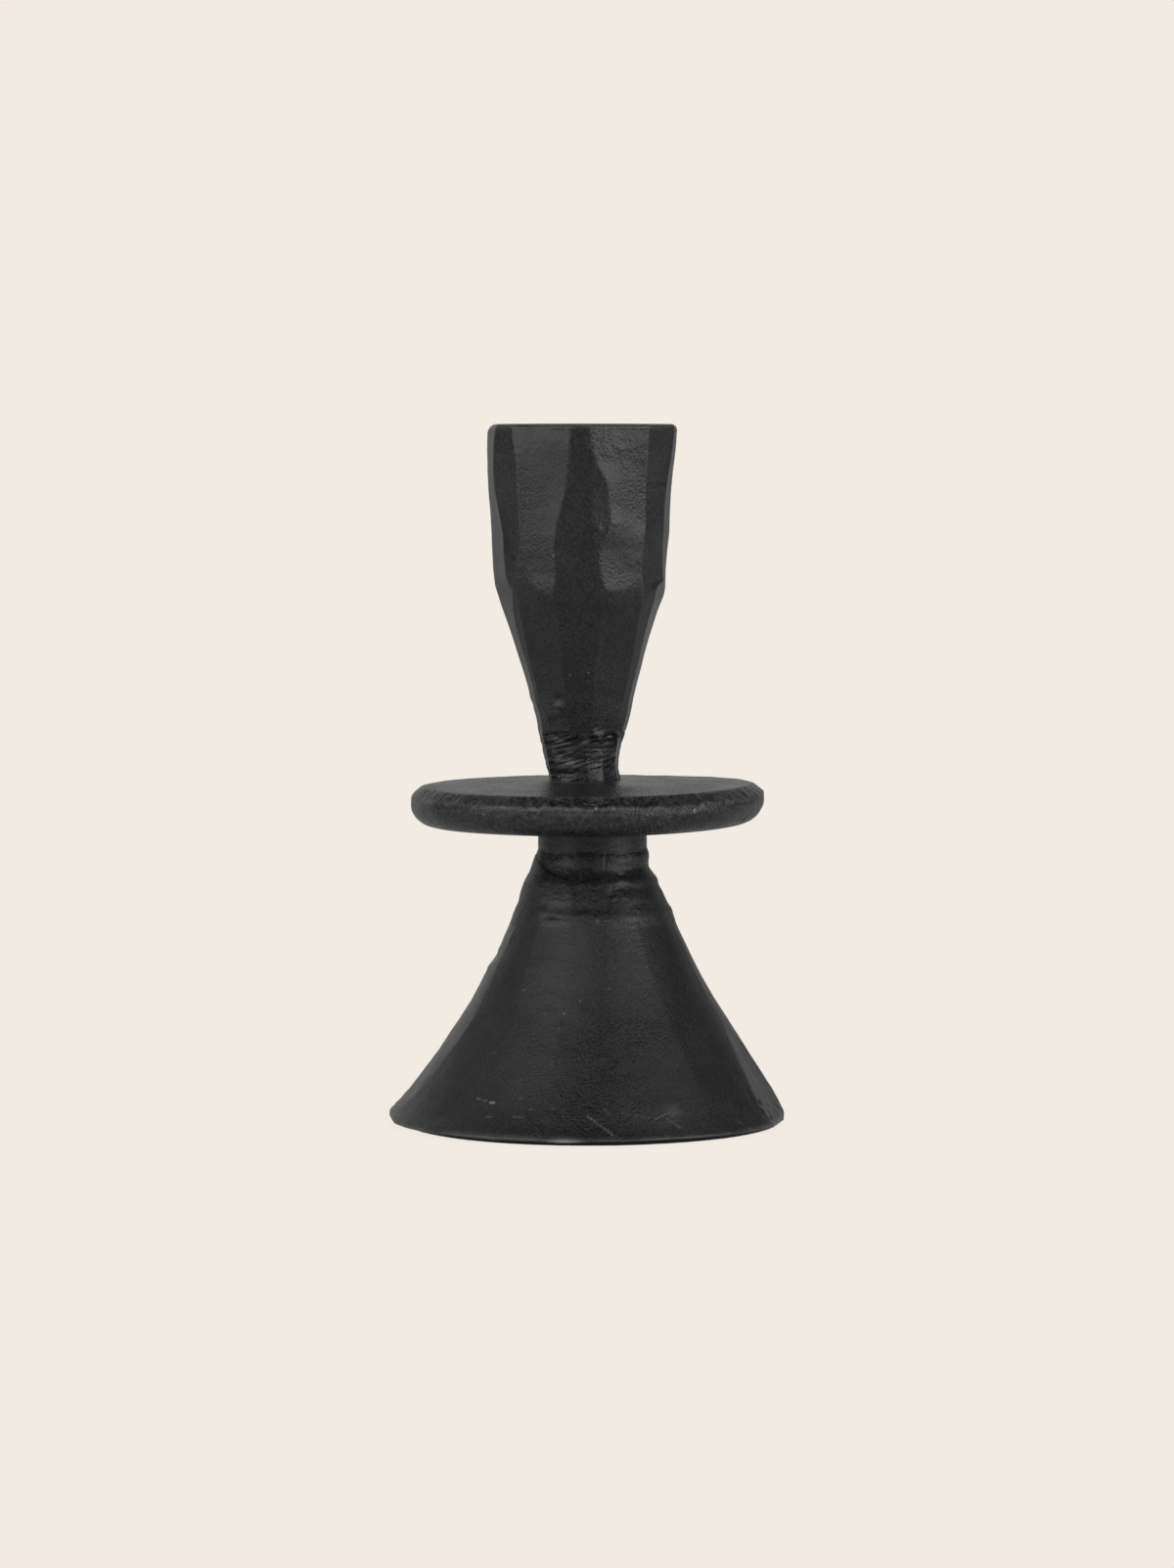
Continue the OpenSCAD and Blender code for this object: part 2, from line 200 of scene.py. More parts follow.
# Cup and stem
CUP_OUTLINE = [
    (80, -9.8, 8), (81, -9.9, 8.4), (83, -10.3, 8.9), (84.5, -10.8, 9.2), (86.2, -11.4, 9.5),
    (87.8, -11.6, 9.9), (92.5, -13, 11.1), (96.1, -14.2, 12), (100.8, -15.7, 13.4), (104.4, -17, 14.6),
    (106.7, -17.7, 15.6), (107.7, -18, 15.9), (109.2, -18.5, 16), (112.7, -18.9, 16.1),
    (116.3, -19.1, 16.4), (119.9, -19.2, 16.8), (124.6, -19.5, 16.9), (128.2, -19.8, 17.1),
    (131.7, -20, 17.4), (134.1, -20, 17.7), (136.5, -20.1, 18), (138.8, -20.1, 18.2),
    (141.5, -19.9, 18.4),
]
# Azimuths at which the hammered flats of cup and stem meet, at heights from the stem's foot up
CUP_EDGES = [
    (80, [-92, -64, -42, -18, -3, 10, 44, 65, 95, 125, 152, 180, 212, 240]),
    (86.2, [-91, -64, -56, -18, 0, 12, 52, 65, 96, 125, 152, 180, 212, 241]),
    (94.9, [-90, -64, -56, -18, 2, 13, 53, 66, 97, 125, 152, 180, 211, 242]),
    (101, [-89, -63, -52, -18, 5, 14, 50, 64, 98, 125, 152, 180, 211, 242]),
    (108, [-88, -54, -48, -20, 10, 14, 46, 62, 99, 125, 152, 180, 210, 243]),
    (109.3, [-89, -57, -48, -18, 14, 17, 46, 73, 100, 125, 152, 180, 210, 243]),
    (111.5, [-90, -59, -47, -16, 12, 15, 45, 71, 99, 124, 151, 179, 209, 242]),
    (114, [-90, -59, -46, -17, 11, 13, 45, 70, 99, 124, 151, 179, 209, 242]),
    (117, [-90, -60, -43, -17, 9, 13, 45, 68, 98, 124, 151, 179, 209, 242]),
    (119.5, [-90, -60, -42, -17, 8, 17, 45, 67, 98, 123, 150, 178, 208, 241]),
    (122, [-90, -62, -43, -15, 7, 20, 46, 67, 98, 123, 150, 178, 208, 241]),
    (128.5, [-90, -68, -43, -9, 7, 18, 45, 69, 97, 123, 149, 177, 207, 240]),
    (131, [-90, -69, -43, -8, 8, 16, 45, 70, 97, 123, 149, 177, 207, 240]),
    (134.3, [-90, -69, -43, -7, 6, 9, 44, 72, 98, 122, 148, 176, 207, 240]),
    (141.5, [-90, -66, -48, -7, 2, 4, 43, 74, 98, 122, 148, 176, 207, 240]),
]
CUP_COLUMNS = 576
CUP_STEP = 0.26
CUP_CENTRE = -1
CUP_AXIS = (CUP_CENTRE, CUP_COLUMNS)
# The stem starts this far down inside the weld, and is drawn in there
STEM_START = 1.5
STEM_SUNK = 0.5
STEM_SUNK_H = 0.8
# Rounding of the rim by azimuth, and the burr along it
RIM_ROUND = [
    (-180, 0.8), (-125, 1), (-90, 1.7), (-64, 0.7), (0, 0.5), (64, 0.6), (90, 1.4), (125, 1), (180, 0.8),
]
BURR_BELOW = 0.1
BURR_H = 0.22
BURR_PROUD = 0.05
BURR_WORN = 0.14
FACE_SUNK = 0.06
TENON_R = 5.5
DOWEL_HOLE_R = 2.55
DOWEL_IN_CUP = 6
DOWEL_IN_NECK = 8
SOCKET = frame["record"]["mounts"][0]["dims"]
SOCKET_DEPTH = 25
SOCKET_LEAD = 0.8
DRILL_HALF_ANGLE = 59
DRILL_TIP_R = 0.2
# Rings across the rim's face, down the socket and on to its point
CUP_RINGS = (20, 12, 6)
CUP_MARKS = [
    (30, 116.5, 5, 3.2, 0.14), (-31, 114.6, 3, 1.2, -0.05), (-28, 109, 4.8, 2.4, 0.26),
    (33, 125, 5.5, 5.5, -0.05), (33, 134, 5, 5, -0.05), (59, 130.3, 5, 0.5, -0.05),
    (59, 129.1, 5, 0.6, 0.05), (11, 121, 0.6, 0.5, 0.12), (-17.5, 115.7, 0.13, 0.13, 0, 1),
    (-27, 86.6, 1.3, 0.9, -0.32), (-29, 85.2, 1.1, 0.5, 0.14, 0.1), (-34, 83.8, 0.6, 0.7, 0.1, 0.06),
    (-89, 85.2, 1.4, 0.8, -0.2), (-46, 83.2, 1.2, 1.4, 0.16), (67, 125.6, 0.14, 0.14, 0, 0.6),
    (-43.5, 120.3, 0.12, 0.12, 0, 0.4), (-12, 91.6, 0.12, 0.12, 0, 0.9), (6, 92, 0.14, 0.12, 0, 0.5),
]
# Where the hammer left the cup rough, and how pitted it is at least and at most
CUP_ROUGH = [
    (-45, 137, 3, 5), (-28, 139, 4, 3), (15, 137, 6, 4), (33, 135, 5, 5), (-24, 112, 6, 3.2),
    (34, 112, 6, 3.5), (10, 121, 2, 2), (-10, 125, 7, 4), (60, 137, 4, 4), (-25, 105, 6, 4),
]
PITTED_LEAST = 0.25
PITTED_MOST = 1.2
# How far the shoulder wanders up or down by azimuth
SHOULDER_Z = 108.6
SHOULDER_REACH = 3
SHOULDER_WAVE = [
    (-180, 0.6), (-150, -0.3), (-120, 0.7), (-90, -0.1), (-60, 0.5), (-41, 1.5), (-32, -0.2), (-22, -0.3),
    (-16, 0.9), (-10, -0.2), (0, 0.4), (9, 0.2), (23, -0.8), (33, -0.2), (43, 0.9), (53, 0), (67, 1),
    (90, 0), (125, 0.7), (150, -0.4), (180, 0.6),
]

# Weld between stem and plate. Its flats turn over into the stem's between two heights from their joint, and
# it thins out below its ragged top.
WELD_GAP = 0.03
CUP_WELD_OUTLINE = [
    (70, -7.5, 6.8), (71, -7.6, 6.6), (72.3, -8, 6.4), (73.5, -8.2, 6.5), (74.7, -8.5, 6.6),
    (75.8, -8.8, 6.7), (77, -9.1, 6.9), (78.2, -9.4, 7.3), (79.4, -9.7, 7.8),
]
CUP_WELD_EDGES = [-92, -66, -40, -12, 6, 31, 63, 95, 110, 125, 152, 180, 212, 240]
CUP_WELD_STEP = 0.15
CUP_WELD_SUNK = 0.4
CUP_WELD_TURN = (-2.5, 0.5)
CUP_WELD_TOP = 81.2
CUP_WELD_BELT_R = 9
CUP_WELD_THIN_BELOW = 2.2
CUP_WELD_THIN_H = 2.6
CUP_WELD_END = 0.12
CUP_WELD_PROUD = 0.08
# Its toe spreads at the front, up to a height above the plate
CUP_WELD_TOE = 0.25
CUP_WELD_TOE_START = 0.5
CUP_WELD_TOE_H = 6
# Its slanting ripples, and painted sheen: lighter colour in patches that stands in for highlights on the
# weld
CUP_WELD_RIPPLED = 0.65
CUP_WELD_SLANT = -0.3
CUP_WELD_SHEEN = 0.34
CUP_WELD_SHEEN_LEAST = 0.25
CUP_WELD_MARKS = [
    (-39, 79, 1.2, 0.5, -0.22), (42, 79, 1.4, 0.5, -0.2), (28, 76.5, 2.6, 0.3, -0.18),
    (-26, 72.8, 1.7, 1.7, 0.24), (18, 70.4, 1.5, 2.6, 0.28), (-28, 71.4, 2.4, 0.3, -0.2),
    (-45, 70.7, 0.25, 0.25, 0.1, 0.6), (0, 78, 1.4, 1.2, 0.12),
]
# Places of painted sheen on the weld: azimuth, height, half width, half height
CUP_WELD_SHEEN_SPOTS = [
    (-22, 77, 2, 1.6), (4, 77.6, 1.6, 0.9), (-17, 73.4, 2.4, 1.3), (23, 73.8, 1.3, 2.2),
    (39, 77.2, 1.8, 0.7), (-45, 76, 1, 2.5), (70, 75, 1.5, 2), (-80, 74, 1.6, 2), (120, 76, 2, 2),
    (170, 74, 2.4, 2), (-140, 75, 2, 2.2),
]

# Drip plate: the rounding under its edge and the bevel over it, each by its width and height
PLATE_COLUMNS = 840
PLATE_STEP = 0.3
PLATE_R = 35.6
PLATE_EDGE_H = 8
PLATE_UNDER = (4.7, 4.6)
PLATE_BEVEL = (2.4, 2.1)
PLATE_CROWN_R = 22
PLATE_CROWN_H = 0.85
PLATE_LAND_R = 9.4
PLATE_LAND_DROP = 0.25
PLATE_RISE_RIGHT = 0.85
PLATE_REACH_RIGHT = 0.4
# Azimuths at which the hammered flats of its edge meet, and how much of their depth shows
PLATE_EDGES = [
    -97, -80, -62, -46, -29, -12, 4, 23, 41, 58, 75, 94, 112, 130, 148, 167, 185, 204, 224, 242,
]
PLATE_EDGE_SHARE = 0.5
# Radius and width over which its outer part begins, and the height over which its top does
PLATE_OUTER = (24, 8)
PLATE_TOP_H = 0.3
# Band of the bevel, calmer and fuller at the plate's left and right ends, and the painted highlight along
# its lip
BEVEL_BELOW = 1.1
BEVEL_REACH = 1
BEVEL_CALM = 0.7
BEVEL_FULL = 0.35
LIP_INSET = 0.16
LIP_HIGHLIGHT_BELOW = 0.1
LIP_HIGHLIGHT_REACH = 0.35
LIP_HIGHLIGHT = 0.3
# The thin bands near 66 mm at -18 and 14 degrees add painted highlight along the lip.
PLATE_MARKS = [
    (3, 66.4, 0.28, 0.2, 0.1, 1), (8.8, 66.4, 0.32, 0.2, 0.1, 1), (37, 65.2, 0.24, 0.45, 0, 1),
    (-18, 66.1, 5, 0.18, 0, 0.3), (14, 66.2, 6, 0.18, 0, 0.2), (67, 61.6, 0.7, 0.5, 0.35),
    (66, 67.6, 1.2, 0.7, 0.2), (-70, 67.2, 3, 0.8, -0.15),
]

# Fillet weld under the plate: the shape of its face, how far it sinks in, and its ripples
PLATE_WELD_COLUMNS = 360
PLATE_WELD_FACE = (0.97, 1.3)
PLATE_WELD_SUNK = 0.1
RIPPLE_COUNT = 30
RIPPLE_DEPTH = 0.09

# Neck, and the flared weld at its foot
NECK_R = 11.1
NECK_SUNK = 0.05
NECK_STEP_H = 0.25
NECK_START_R = 0.5
NECK_CENTRE = 1.2
NECK_WELD_OUTLINE = [
    (40, -15.7, 18.4), (41.6, -15, 17.7), (43.7, -14.1, 16.8), (44.9, -13.7, 16.3), (46.1, -13.6, 15.8),
    (47.3, -13.2, 15.2), (48.5, -12.8, 14.5), (49.7, -12.2, 14.3), (50.9, -11.5, 13.4), (52.1, -11, 12.5),
    (53.3, -10.6, 12.6), (54.6, -10.2, 12.7), (56, -10, 12.4), (57, -10, 12.3),
]
# By azimuth, the height of the crease under the weld's filed upper face, and how far it steps in there
NECK_CREASE = [
    (-180, 52.5), (-135, 53.5), (-90, 54.6), (-50, 52.2), (-30, 50.4), (-15, 49.4), (0, 49.8), (10, 50.8),
    (25, 51.3), (60, 51.9), (90, 52.6), (135, 53.2), (180, 52.5),
]
NECK_STEP = [
    (-180, 0.12), (-90, 0.04), (-60, 0.05), (-42, 0.12), (-27, 0.1), (-8, 0.03), (12, 0.02), (28, 0.11),
    (50, 0.05), (90, 0.04), (180, 0.12),
]
CREASE_WIDTH = 0.4
CREASE_CALM = 0.4
# The weld's ragged top and edge. Up to SHELL it keeps the foot's shape, and from OWN on it has its own.
NECK_WELD_STEP = 0.22
NECK_WELD_BELT_R = 14
NECK_WELD_TOP = 56
NECK_WELD_EDGE = 41.2
NECK_WELD_SHELL = 43
NECK_WELD_OWN = 47.4
NECK_WELD_PROUD = 0.05
NECK_WELD_BORE = 0.8
# Where it starts and its marks set in, and how it thins out below and above, by depth and height
NECK_WELD_START = 2.2
NECK_WELD_MARKS_IN = (41.6, 1.4)
NECK_WELD_THIN_LOW = (0.3, 1.6)
NECK_WELD_THIN_HIGH = (0.5, 3)
NECK_WELD_MARKS = [
    (-29, 53.3, 2.4, 1.6, -0.06), (-30, 52.6, 1.6, 1, 0, 0.06), (13.8, 53.6, 0.5, 1.6, -0.14),
    (26, 54.4, 3, 1.7, 0.17), (30, 53.2, 2.6, 0.5, -0.12), (62, 55.6, 3, 1.2, -0.12),
    (-5, 53.7, 2, 0.9, -0.08), (8, 55.2, 1.6, 0.8, 0.1), (30, 51.2, 1.2, 0.45, -0.35),
    (28, 50, 1.2, 0.6, 0.22, 0.1), (2, 46.6, 0.9, 0.2, -0.22), (-31, 42.9, 1.8, 0.18, -0.3),
    (-20, 41.8, 3.4, 0.5, 0.14, 0.06), (32, 42.8, 2.4, 0.5, 0.14, 0.06), (-44, 44.4, 2.2, 1, 0.2),
    (-17, 46.4, 1, 4, 0.14), (5, 45, 3.4, 3.5, -0.28), (30, 46, 2.2, 2.2, 0.14), (-48, 49, 2, 2.2, 0.12),
    (3, 42.5, 0.5, 0.4, 0.2, 0.25),
]
NECK_WELD_ROUGH = [
    (-33, 53, 2.6, 1.6), (-24, 50, 1.4, 3), (-44, 46, 2.4, 1.4), (-18, 44.5, 1.2, 3), (28, 49, 2.2, 1),
    (50, 52, 1.4, 2), (18, 47, 1, 2), (-80, 50, 2, 3), (120, 49, 3, 3), (-160, 51, 3, 2.4),
]

# Foot: outline, azimuths at which its broad planes meet, and how much of their depth shows, by height
FOOT_COLUMNS = 900
FOOT_STEP = 0.26
FOOT_R = 30
FOOT_OUTLINE = [
    (1, -40.2, 40.1), (1.7, -40.3, 40.2), (2.3, -40.2, 40.1), (2.9, -39.5, 39.7), (4.1, -38.3, 39.2),
    (5.3, -37.2, 38.5), (6.5, -36.1, 37.9), (8.9, -34.2, 36.4), (11.3, -32.4, 34.9), (13.7, -30.7, 33.3),
    (17.3, -28.3, 31), (20.9, -25.9, 28.7), (23.3, -24.3, 27.2), (25.7, -22.9, 25.7), (29.3, -21, 23.6),
    (32.9, -19.2, 21.7), (35.3, -17.8, 20.6), (38.9, -16.2, 18.9), (41, -15.3, 18), (43.6, -14.5, 17.2),
    (44.9, -13.9, 16.4), (46.1, -13.6, 15.8), (47.3, -13.2, 15.2),
]
FOOT_EDGES = [
    (1, [-158, -126, -98, -76, -40, -14, 9, 38, 64, 93, 124, 158]),
    (9, [-158, -126, -97, -73, -40, -14, 9, 38, 66, 93, 124, 158]),
    (16, [-158, -126, -95, -68, -38, -15, 8, 37, 70, 94, 124, 158]),
    (22, [-158, -126, -95, -66, -38, -15, 8, 36, 74, 95, 124, 158]),
    (44, [-158, -126, -97, -69, -42, -18, 6, 32, 78, 98, 124, 158]),
]
FOOT_EDGE_SHARE = [(1, 0.1), (8, 0.21), (18, 0.28), (40, 0.25), (44, 0.1)]
# The one big flat, by height and half width in degrees
FLAT_AZIMUTH = 78
FLAT_HALF_WIDTH = [(1, 10), (3.7, 12), (7, 14), (11, 13), (15.7, 10.5), (20, 5), (24, 0)]
# How far the foot goes on inside the weld, and where and how it is drawn in there
FOOT_EXTRA = 3.6
FOOT_SUNK = 0.5
FOOT_SUNK_START = 1.6
FOOT_SUNK_H = 0.8
SHEET_INSET = 3
INNER_LEVELS = 8
# Depth of the fine grit at least, and what it gains in patches
FOOT_GRIT = 0.012
FOOT_GRIT_GAIN = 0.025
SCRATCH_DEPTH = 0.05
# The rim hangs lower at the right, and its left end is worn away. AT gives middle and reach in degrees.
RIM_DROP = 0.15
RIM_DROP_RIGHT = 0.5
RIM_DROP_AT = (88, 28)
RIM_DROP_TURN = 60
RIM_WORN_LEFT = 0.7
RIM_WORN_LEFT_H = 1.4
RIM_WORN_LEFT_AT = (-90, 35)
# How far front and back of the rim flare out at each height. The very edge is a little rounded.
RIM_FLARE = [(1.0, 1.05), (1.7, 0.45), (2.3, 0.12), (2.9, 0.08), (4.1, 0)]
RIM_FLARE_WIDE = 1.6
RIM_EDGE = 0.25
# Worn line along the rim
RIM_LINE_H = 0.35
RIM_LINE_WORN = 0.25
RIM_LINE_AT = (20, 50)
FOOT_MARKS = [
    (-68, 38.2, 1.1, 0.9, 0.28, 0.1), (66, 5.6, 0.8, 0.7, -0.45), (66, 3.9, 0.9, 0.5, 0.38),
    (69, 2.4, 1, 0.5, -0.38), (72, 3.6, 1.2, 0.6, 0.32, 0.1), (82, 2.2, 2, 0.8, 0.28, 0.1),
    (61, 7.2, 0.6, 1.6, -0.2), (26, 6.2, 1.8, 1.3, 0.1, 0.1), (-6, 1, 2.8, 0.55, 0.28, 1),
    (-14.5, 22, 0.4, 0.4, 0.1), (-13.5, 24.7, 0.14, 0.14, 0.05, 0.7), (-23, 24.4, 0.12, 0.12, 0, 0.4),
    (-37.5, 28.8, 0.25, 0.25, 0.1, 0.2), (-6.5, 27, 0.12, 0.12, 0, 0.5),
    (-41, 16.7, 0.25, 0.25, 0.1, 0.2), (32.5, 33.4, 0.14, 0.14, 0.05, 0.4),
    (67, 30.6, 0.14, 0.14, 0.05, 0.5), (8.5, 29.5, 0.14, 0.14, 0.05, 0.5),
    (21.5, 22.2, 0.12, 0.12, 0, 0.4), (19, 17, 0.16, 0.12, 0, 0.4), (-23.5, 8.9, 0.4, 0.4, 0.12, 0.1),
    (-55, 33, 6, 3.5, 0.12), (14, 34, 5, 4, 0.12), (-28, 34, 5, 3.5, 0.1), (44, 20, 5, 8, -0.12),
    (75, 4.6, 0.5, 0.35, 0.2, 0.15), (78, 3.2, 0.6, 0.3, -0.2), (63, 3.2, 0.5, 0.3, 0.2, 0.1),
    (70, 5.2, 0.4, 0.3, 0.15, 0.2), (86, 3.4, 0.6, 0.4, 0.2, 0.15), (80, 5.4, 0.5, 0.5, -0.12),
    (-90, 34, 3.2, 0.6, -0.6), (-90, 33, 2.6, 0.4, -0.4), (-90, 31.6, 3, 0.8, 0.3),
    (-88, 31, 0.8, 1.6, 0.05, 0.12),
]
FOOT_ROUGH = [
    (-82, 14, 4, 8), (-76, 8, 5, 4), (-84, 3, 6, 2.5), (80, 9, 5, 8), (76, 4, 5, 2.5), (-50, 5, 7, 2.5),
    (-28, 30, 6, 5), (14, 33, 5, 5), (27, 6, 5, 2.5), (140, 20, 8, 9), (-150, 14, 9, 7), (175, 34, 7, 6),
]
# Scratches on the foot: azimuth and height of both ends, half width, how worn
FOOT_SCRATCHES = [
    (-39.5, 7.9, -35.5, 7.7, 0.11, 0.4), (-34, 7.6, -32.3, 7.5, 0.18, 1),
    (-19, 6.8, -11.5, 6.9, 0.08, 0.2), (-1, 5.8, 7, 2.4, 0.11, 0.5), (9.5, 6.2, 18, 5.2, 0.09, 0.18),
    (20, 5, 24.5, 5.9, 0.1, 0.3), (24.5, 5.9, 28.5, 7.6, 0.12, 0.2), (23.5, 4.9, 27.5, 3.1, 0.11, 0.3),
    (50, 3.2, 53.8, 1.5, 0.11, 0.4), (-24, 5.2, -20.5, 5.1, 0.08, 0.15), (-36, 6.6, -34, 6.5, 0.08, 0.15),
    (-33, 4.9, -31, 4.8, 0.08, 0.15), (44, 4.4, 47.5, 2.6, 0.08, 0.1), (4, 6.9, 5.6, 6, 0.14, 0.15),
]

# Seam of the sheet, with the pit that nicks the left outline
SEAM_W = 2.4
SEAM_PROUD = 0.21
SEAM_SUNK = 0.03
SEAM_DEPTH = 0.8
SEAM_POINTS = 11
SEAM_START = 8
SEAM_AZIMUTH = -98
PIT_Z = 32.9
PIT_ASIDE = 1.1
PIT_R = 0.9
PIT_DEPTH = 0.7

# Felt: left and right reach, how short it stays of its box in front, and its edge by share and inset
FELT_ENDS = (37.2, 39)
FELT_SHORT = 0.1
FELT_EDGE = [(0, 0.3), (0.18, 0), (0.5, -0.1), (0.85, 0), (1, 0.3)]
FELT_MIDDLE_R = 1
FELT_RINGS = 24


def smooth(share):
    """Eases a share from 0 to 1 at both ends."""
    return share * share * (3 - 2 * share)


def ramp(value, start, width):
    """From 0 at the start to 1 from a width past it."""
    return np.clip((value - start) / width, 0, 1)


def hump(value, middle, reach):
    """From 1 in the middle to 0 away from it."""
    return np.exp(-(((value - middle) / reach) ** 2))


def read_off(table, values):
    """Second column of a table, read off at values of its first column."""
    return np.interp(values, *np.array(table, float).T)


def lattice_noise(points, size, seed):
    """Smooth noise from -1 to 1, with bumps as wide as size, one number or one for each axis."""
    table = np.random.default_rng(seed).uniform(-1, 1, (LATTICE,) * 3)
    if np.ndim(size) == 0:
        points = points @ ASKEW
    cell = points / np.array(size, float)
    low = np.floor(cell)
    part = smooth(cell - low)
    low = low.astype(int)
    total = np.zeros(points.shape[:-1])
    for corner in product((0, 1), repeat=3):
        weight = np.ones(points.shape[:-1])
        for axis, step in enumerate(corner):
            weight = weight * (part[..., axis] if step else 1 - part[..., axis])
        at = tuple((low[..., axis] + corner[axis]) % LATTICE for axis in range(3))
        total += weight * table[at]
    return total


def uneven(points, name):
    """Sum of a name's layers of noise at points."""
    return sum(depth * lattice_noise(points, size, seed) for depth, size, seed in NOISE[name])


def patchy(points, name, least=0.0):
    """From 0 to 1, in patches of a name's noise."""
    return np.clip(least + uneven(points, name), 0, 1)


def turn(columns):
    """Azimuths of the columns of a ring."""
    return np.linspace(-180, 180, columns, endpoint=False)


def circle(radius, height, centre, columns):
    """One ring. Its radius and its height are a number, or a number for each column."""
    angle = np.radians(turn(columns))
    places = centre + radius * np.sin(angle), -radius * np.cos(angle), height
    return np.stack(np.broadcast_arrays(*places), axis=-1)[None]


def stack(radii, heights, centre, columns):
    """Rings, one for each radius and height."""
    return np.concatenate([circle(*place, centre, columns) for place in zip(radii, heights)])


def flats_radius(edges, columns):
    """Radius, as a share of the corners', of a ring whose flats meet at the azimuths in edges."""
    ends = np.append(edges, edges[0] + 360)
    angle = (turn(columns) - edges[0]) % 360 + edges[0]
    flat = np.clip(np.searchsorted(ends, angle, side="right") - 1, 0, len(edges) - 1)
    start, end = np.radians(ends[flat]), np.radians(ends[flat + 1])
    return np.cos((end - start) / 2) / np.cos(np.radians(angle) - (end + start) / 2)


def flats_stack(table, heights, columns):
    """Rows of flats_radius at heights, from a table of heights and edges."""
    levels, rows = zip(*table)
    edges = [np.interp(heights, levels, edge) for edge in zip(*rows)]
    return np.array([flats_radius(row, columns) for row in np.transpose(edges)])


def soften(field, rounds):
    """Blurs a field or grid of points, levels by columns, a little more each round. Its end levels stay."""
    for _ in range(rounds):
        field = (np.roll(field, 1, axis=1) + 2 * field + np.roll(field, -1, axis=1)) / 4
        field[1:-1] = (field[:-2] + 2 * field[1:-1] + field[2:]) / 4
    return field


def fit_outline(rings, outline, rounds):
    """Scales and shifts rings of any size so that their left and right ends lie on the eased outline."""
    heights, *sides = np.array(outline, float).T
    level = rings[..., 2].mean(axis=1, keepdims=True)
    left, right = (soften(np.interp(level, heights, side), rounds) for side in sides)
    low = rings[..., 0].min(axis=1, keepdims=True)
    scale = (right - left) / (rings[..., 0].max(axis=1, keepdims=True) - low)
    fitted = rings.copy()
    fitted[..., 0] = left + (rings[..., 0] - low) * scale
    fitted[..., 1] *= scale
    return fitted


def push(rings, centre, amount):
    """Moves the points of rings away from a vertical axis, all alike or each by its own amount."""
    out = rings[..., :2] - np.array([centre, 0])
    out = out / np.linalg.norm(out, axis=-1, keepdims=True)
    moved = rings.copy()
    moved[..., :2] += out * np.asarray(amount)[..., None]
    return moved


def spot(rings, azimuth, height, across, tall):
    """From 1 at a place on the rings to 0 away from it."""
    centre = rings[..., :2].mean(axis=1, keepdims=True)
    out = rings[..., :2] - centre
    angle = np.degrees(np.arctan2(out[..., 0], -out[..., 1]))
    side = np.radians((angle - azimuth + 180) % 360 - 180) * np.linalg.norm(out, axis=-1)
    return hump(side, 0, across) * hump(rings[..., 2], height, tall)


def spots(rings, table):
    """Sum of the spots in a table of rough places."""
    return sum(spot(rings, *place) for place in table)


def marks(rings, table):
    """How far each point of the rings stands out, and how worn it is, by a table of marks."""
    proud, wear_and_sheen = np.zeros(rings.shape[:2]), np.zeros(rings.shape[:2])
    for azimuth, height, across, tall, rise, *wear in table:
        here = spot(rings, azimuth, height, across, tall)
        proud += rise * here
        wear_and_sheen = np.maximum(wear_and_sheen, sum(wear) * here)
    return proud, wear_and_sheen


def scratch(rings, start, end, width):
    """From 1 on a line between two places, azimuth and height, to 0 away from it."""
    columns = rings.shape[1]
    tips = []
    for azimuth, height in (start, end):
        level = np.abs(rings[..., 2].mean(axis=1) - height).argmin()
        tips.append(rings[level, round((azimuth + 180) / 360 * columns) % columns])
    line = tips[1] - tips[0]
    along = np.clip((rings - tips[0]) @ line / (line @ line), 0, 1)
    far = np.linalg.norm(rings - tips[0] - along[..., None] * line, axis=-1)
    return hump(far, 0, width)


def drawn_in(ring, centre, amount, height):
    """One ring, nearer to a vertical axis by an amount, at a height."""
    moved = push(ring, centre, -amount)
    moved[..., 2] = height
    return moved


def blend_rings(first, last, steps):
    """Rings on the way from one ring to another, without the first and with the last."""
    shares = np.arange(1, steps + 1) / steps
    return first + (last - first) * shares[:, None, None]


def loft(controls, step):
    """Rings about a step apart, straight from one control ring to the next."""
    rings = [controls[0]]
    for first, last in pairwise(controls):
        length = np.linalg.norm(last - first, axis=-1).mean()
        rings.append(blend_rings(first, last, max(1, round(length / step))))
    return np.concatenate(rings)


def ridges(rings):
    """How far each point of the rings stands proud of its neighbourhood, in millimetres."""
    along = np.gradient(rings, axis=0)
    around = np.roll(rings, -1, axis=1) - np.roll(rings, 1, axis=1)
    normal = np.cross(around, along)
    normal /= np.linalg.norm(normal, axis=-1, keepdims=True) + 1e-9
    return ((rings - soften(rings, RIDGE_BLUR)) * normal).sum(axis=-1)


def fan(tip, ones, others):
    """Triangles from a point to the edges between ones and others."""
    return [[tip, one, other] for one, other in zip(ones.tolist(), others.tolist())]


def dress(piece):
    """Gives a piece its finish, hides the CAD node that it stands for and hangs it on the body."""
    finish, slot, node = PIECES[piece.name]
    piece.data.materials.append(finishes[finish])
    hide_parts(node)
    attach(piece, BODY)


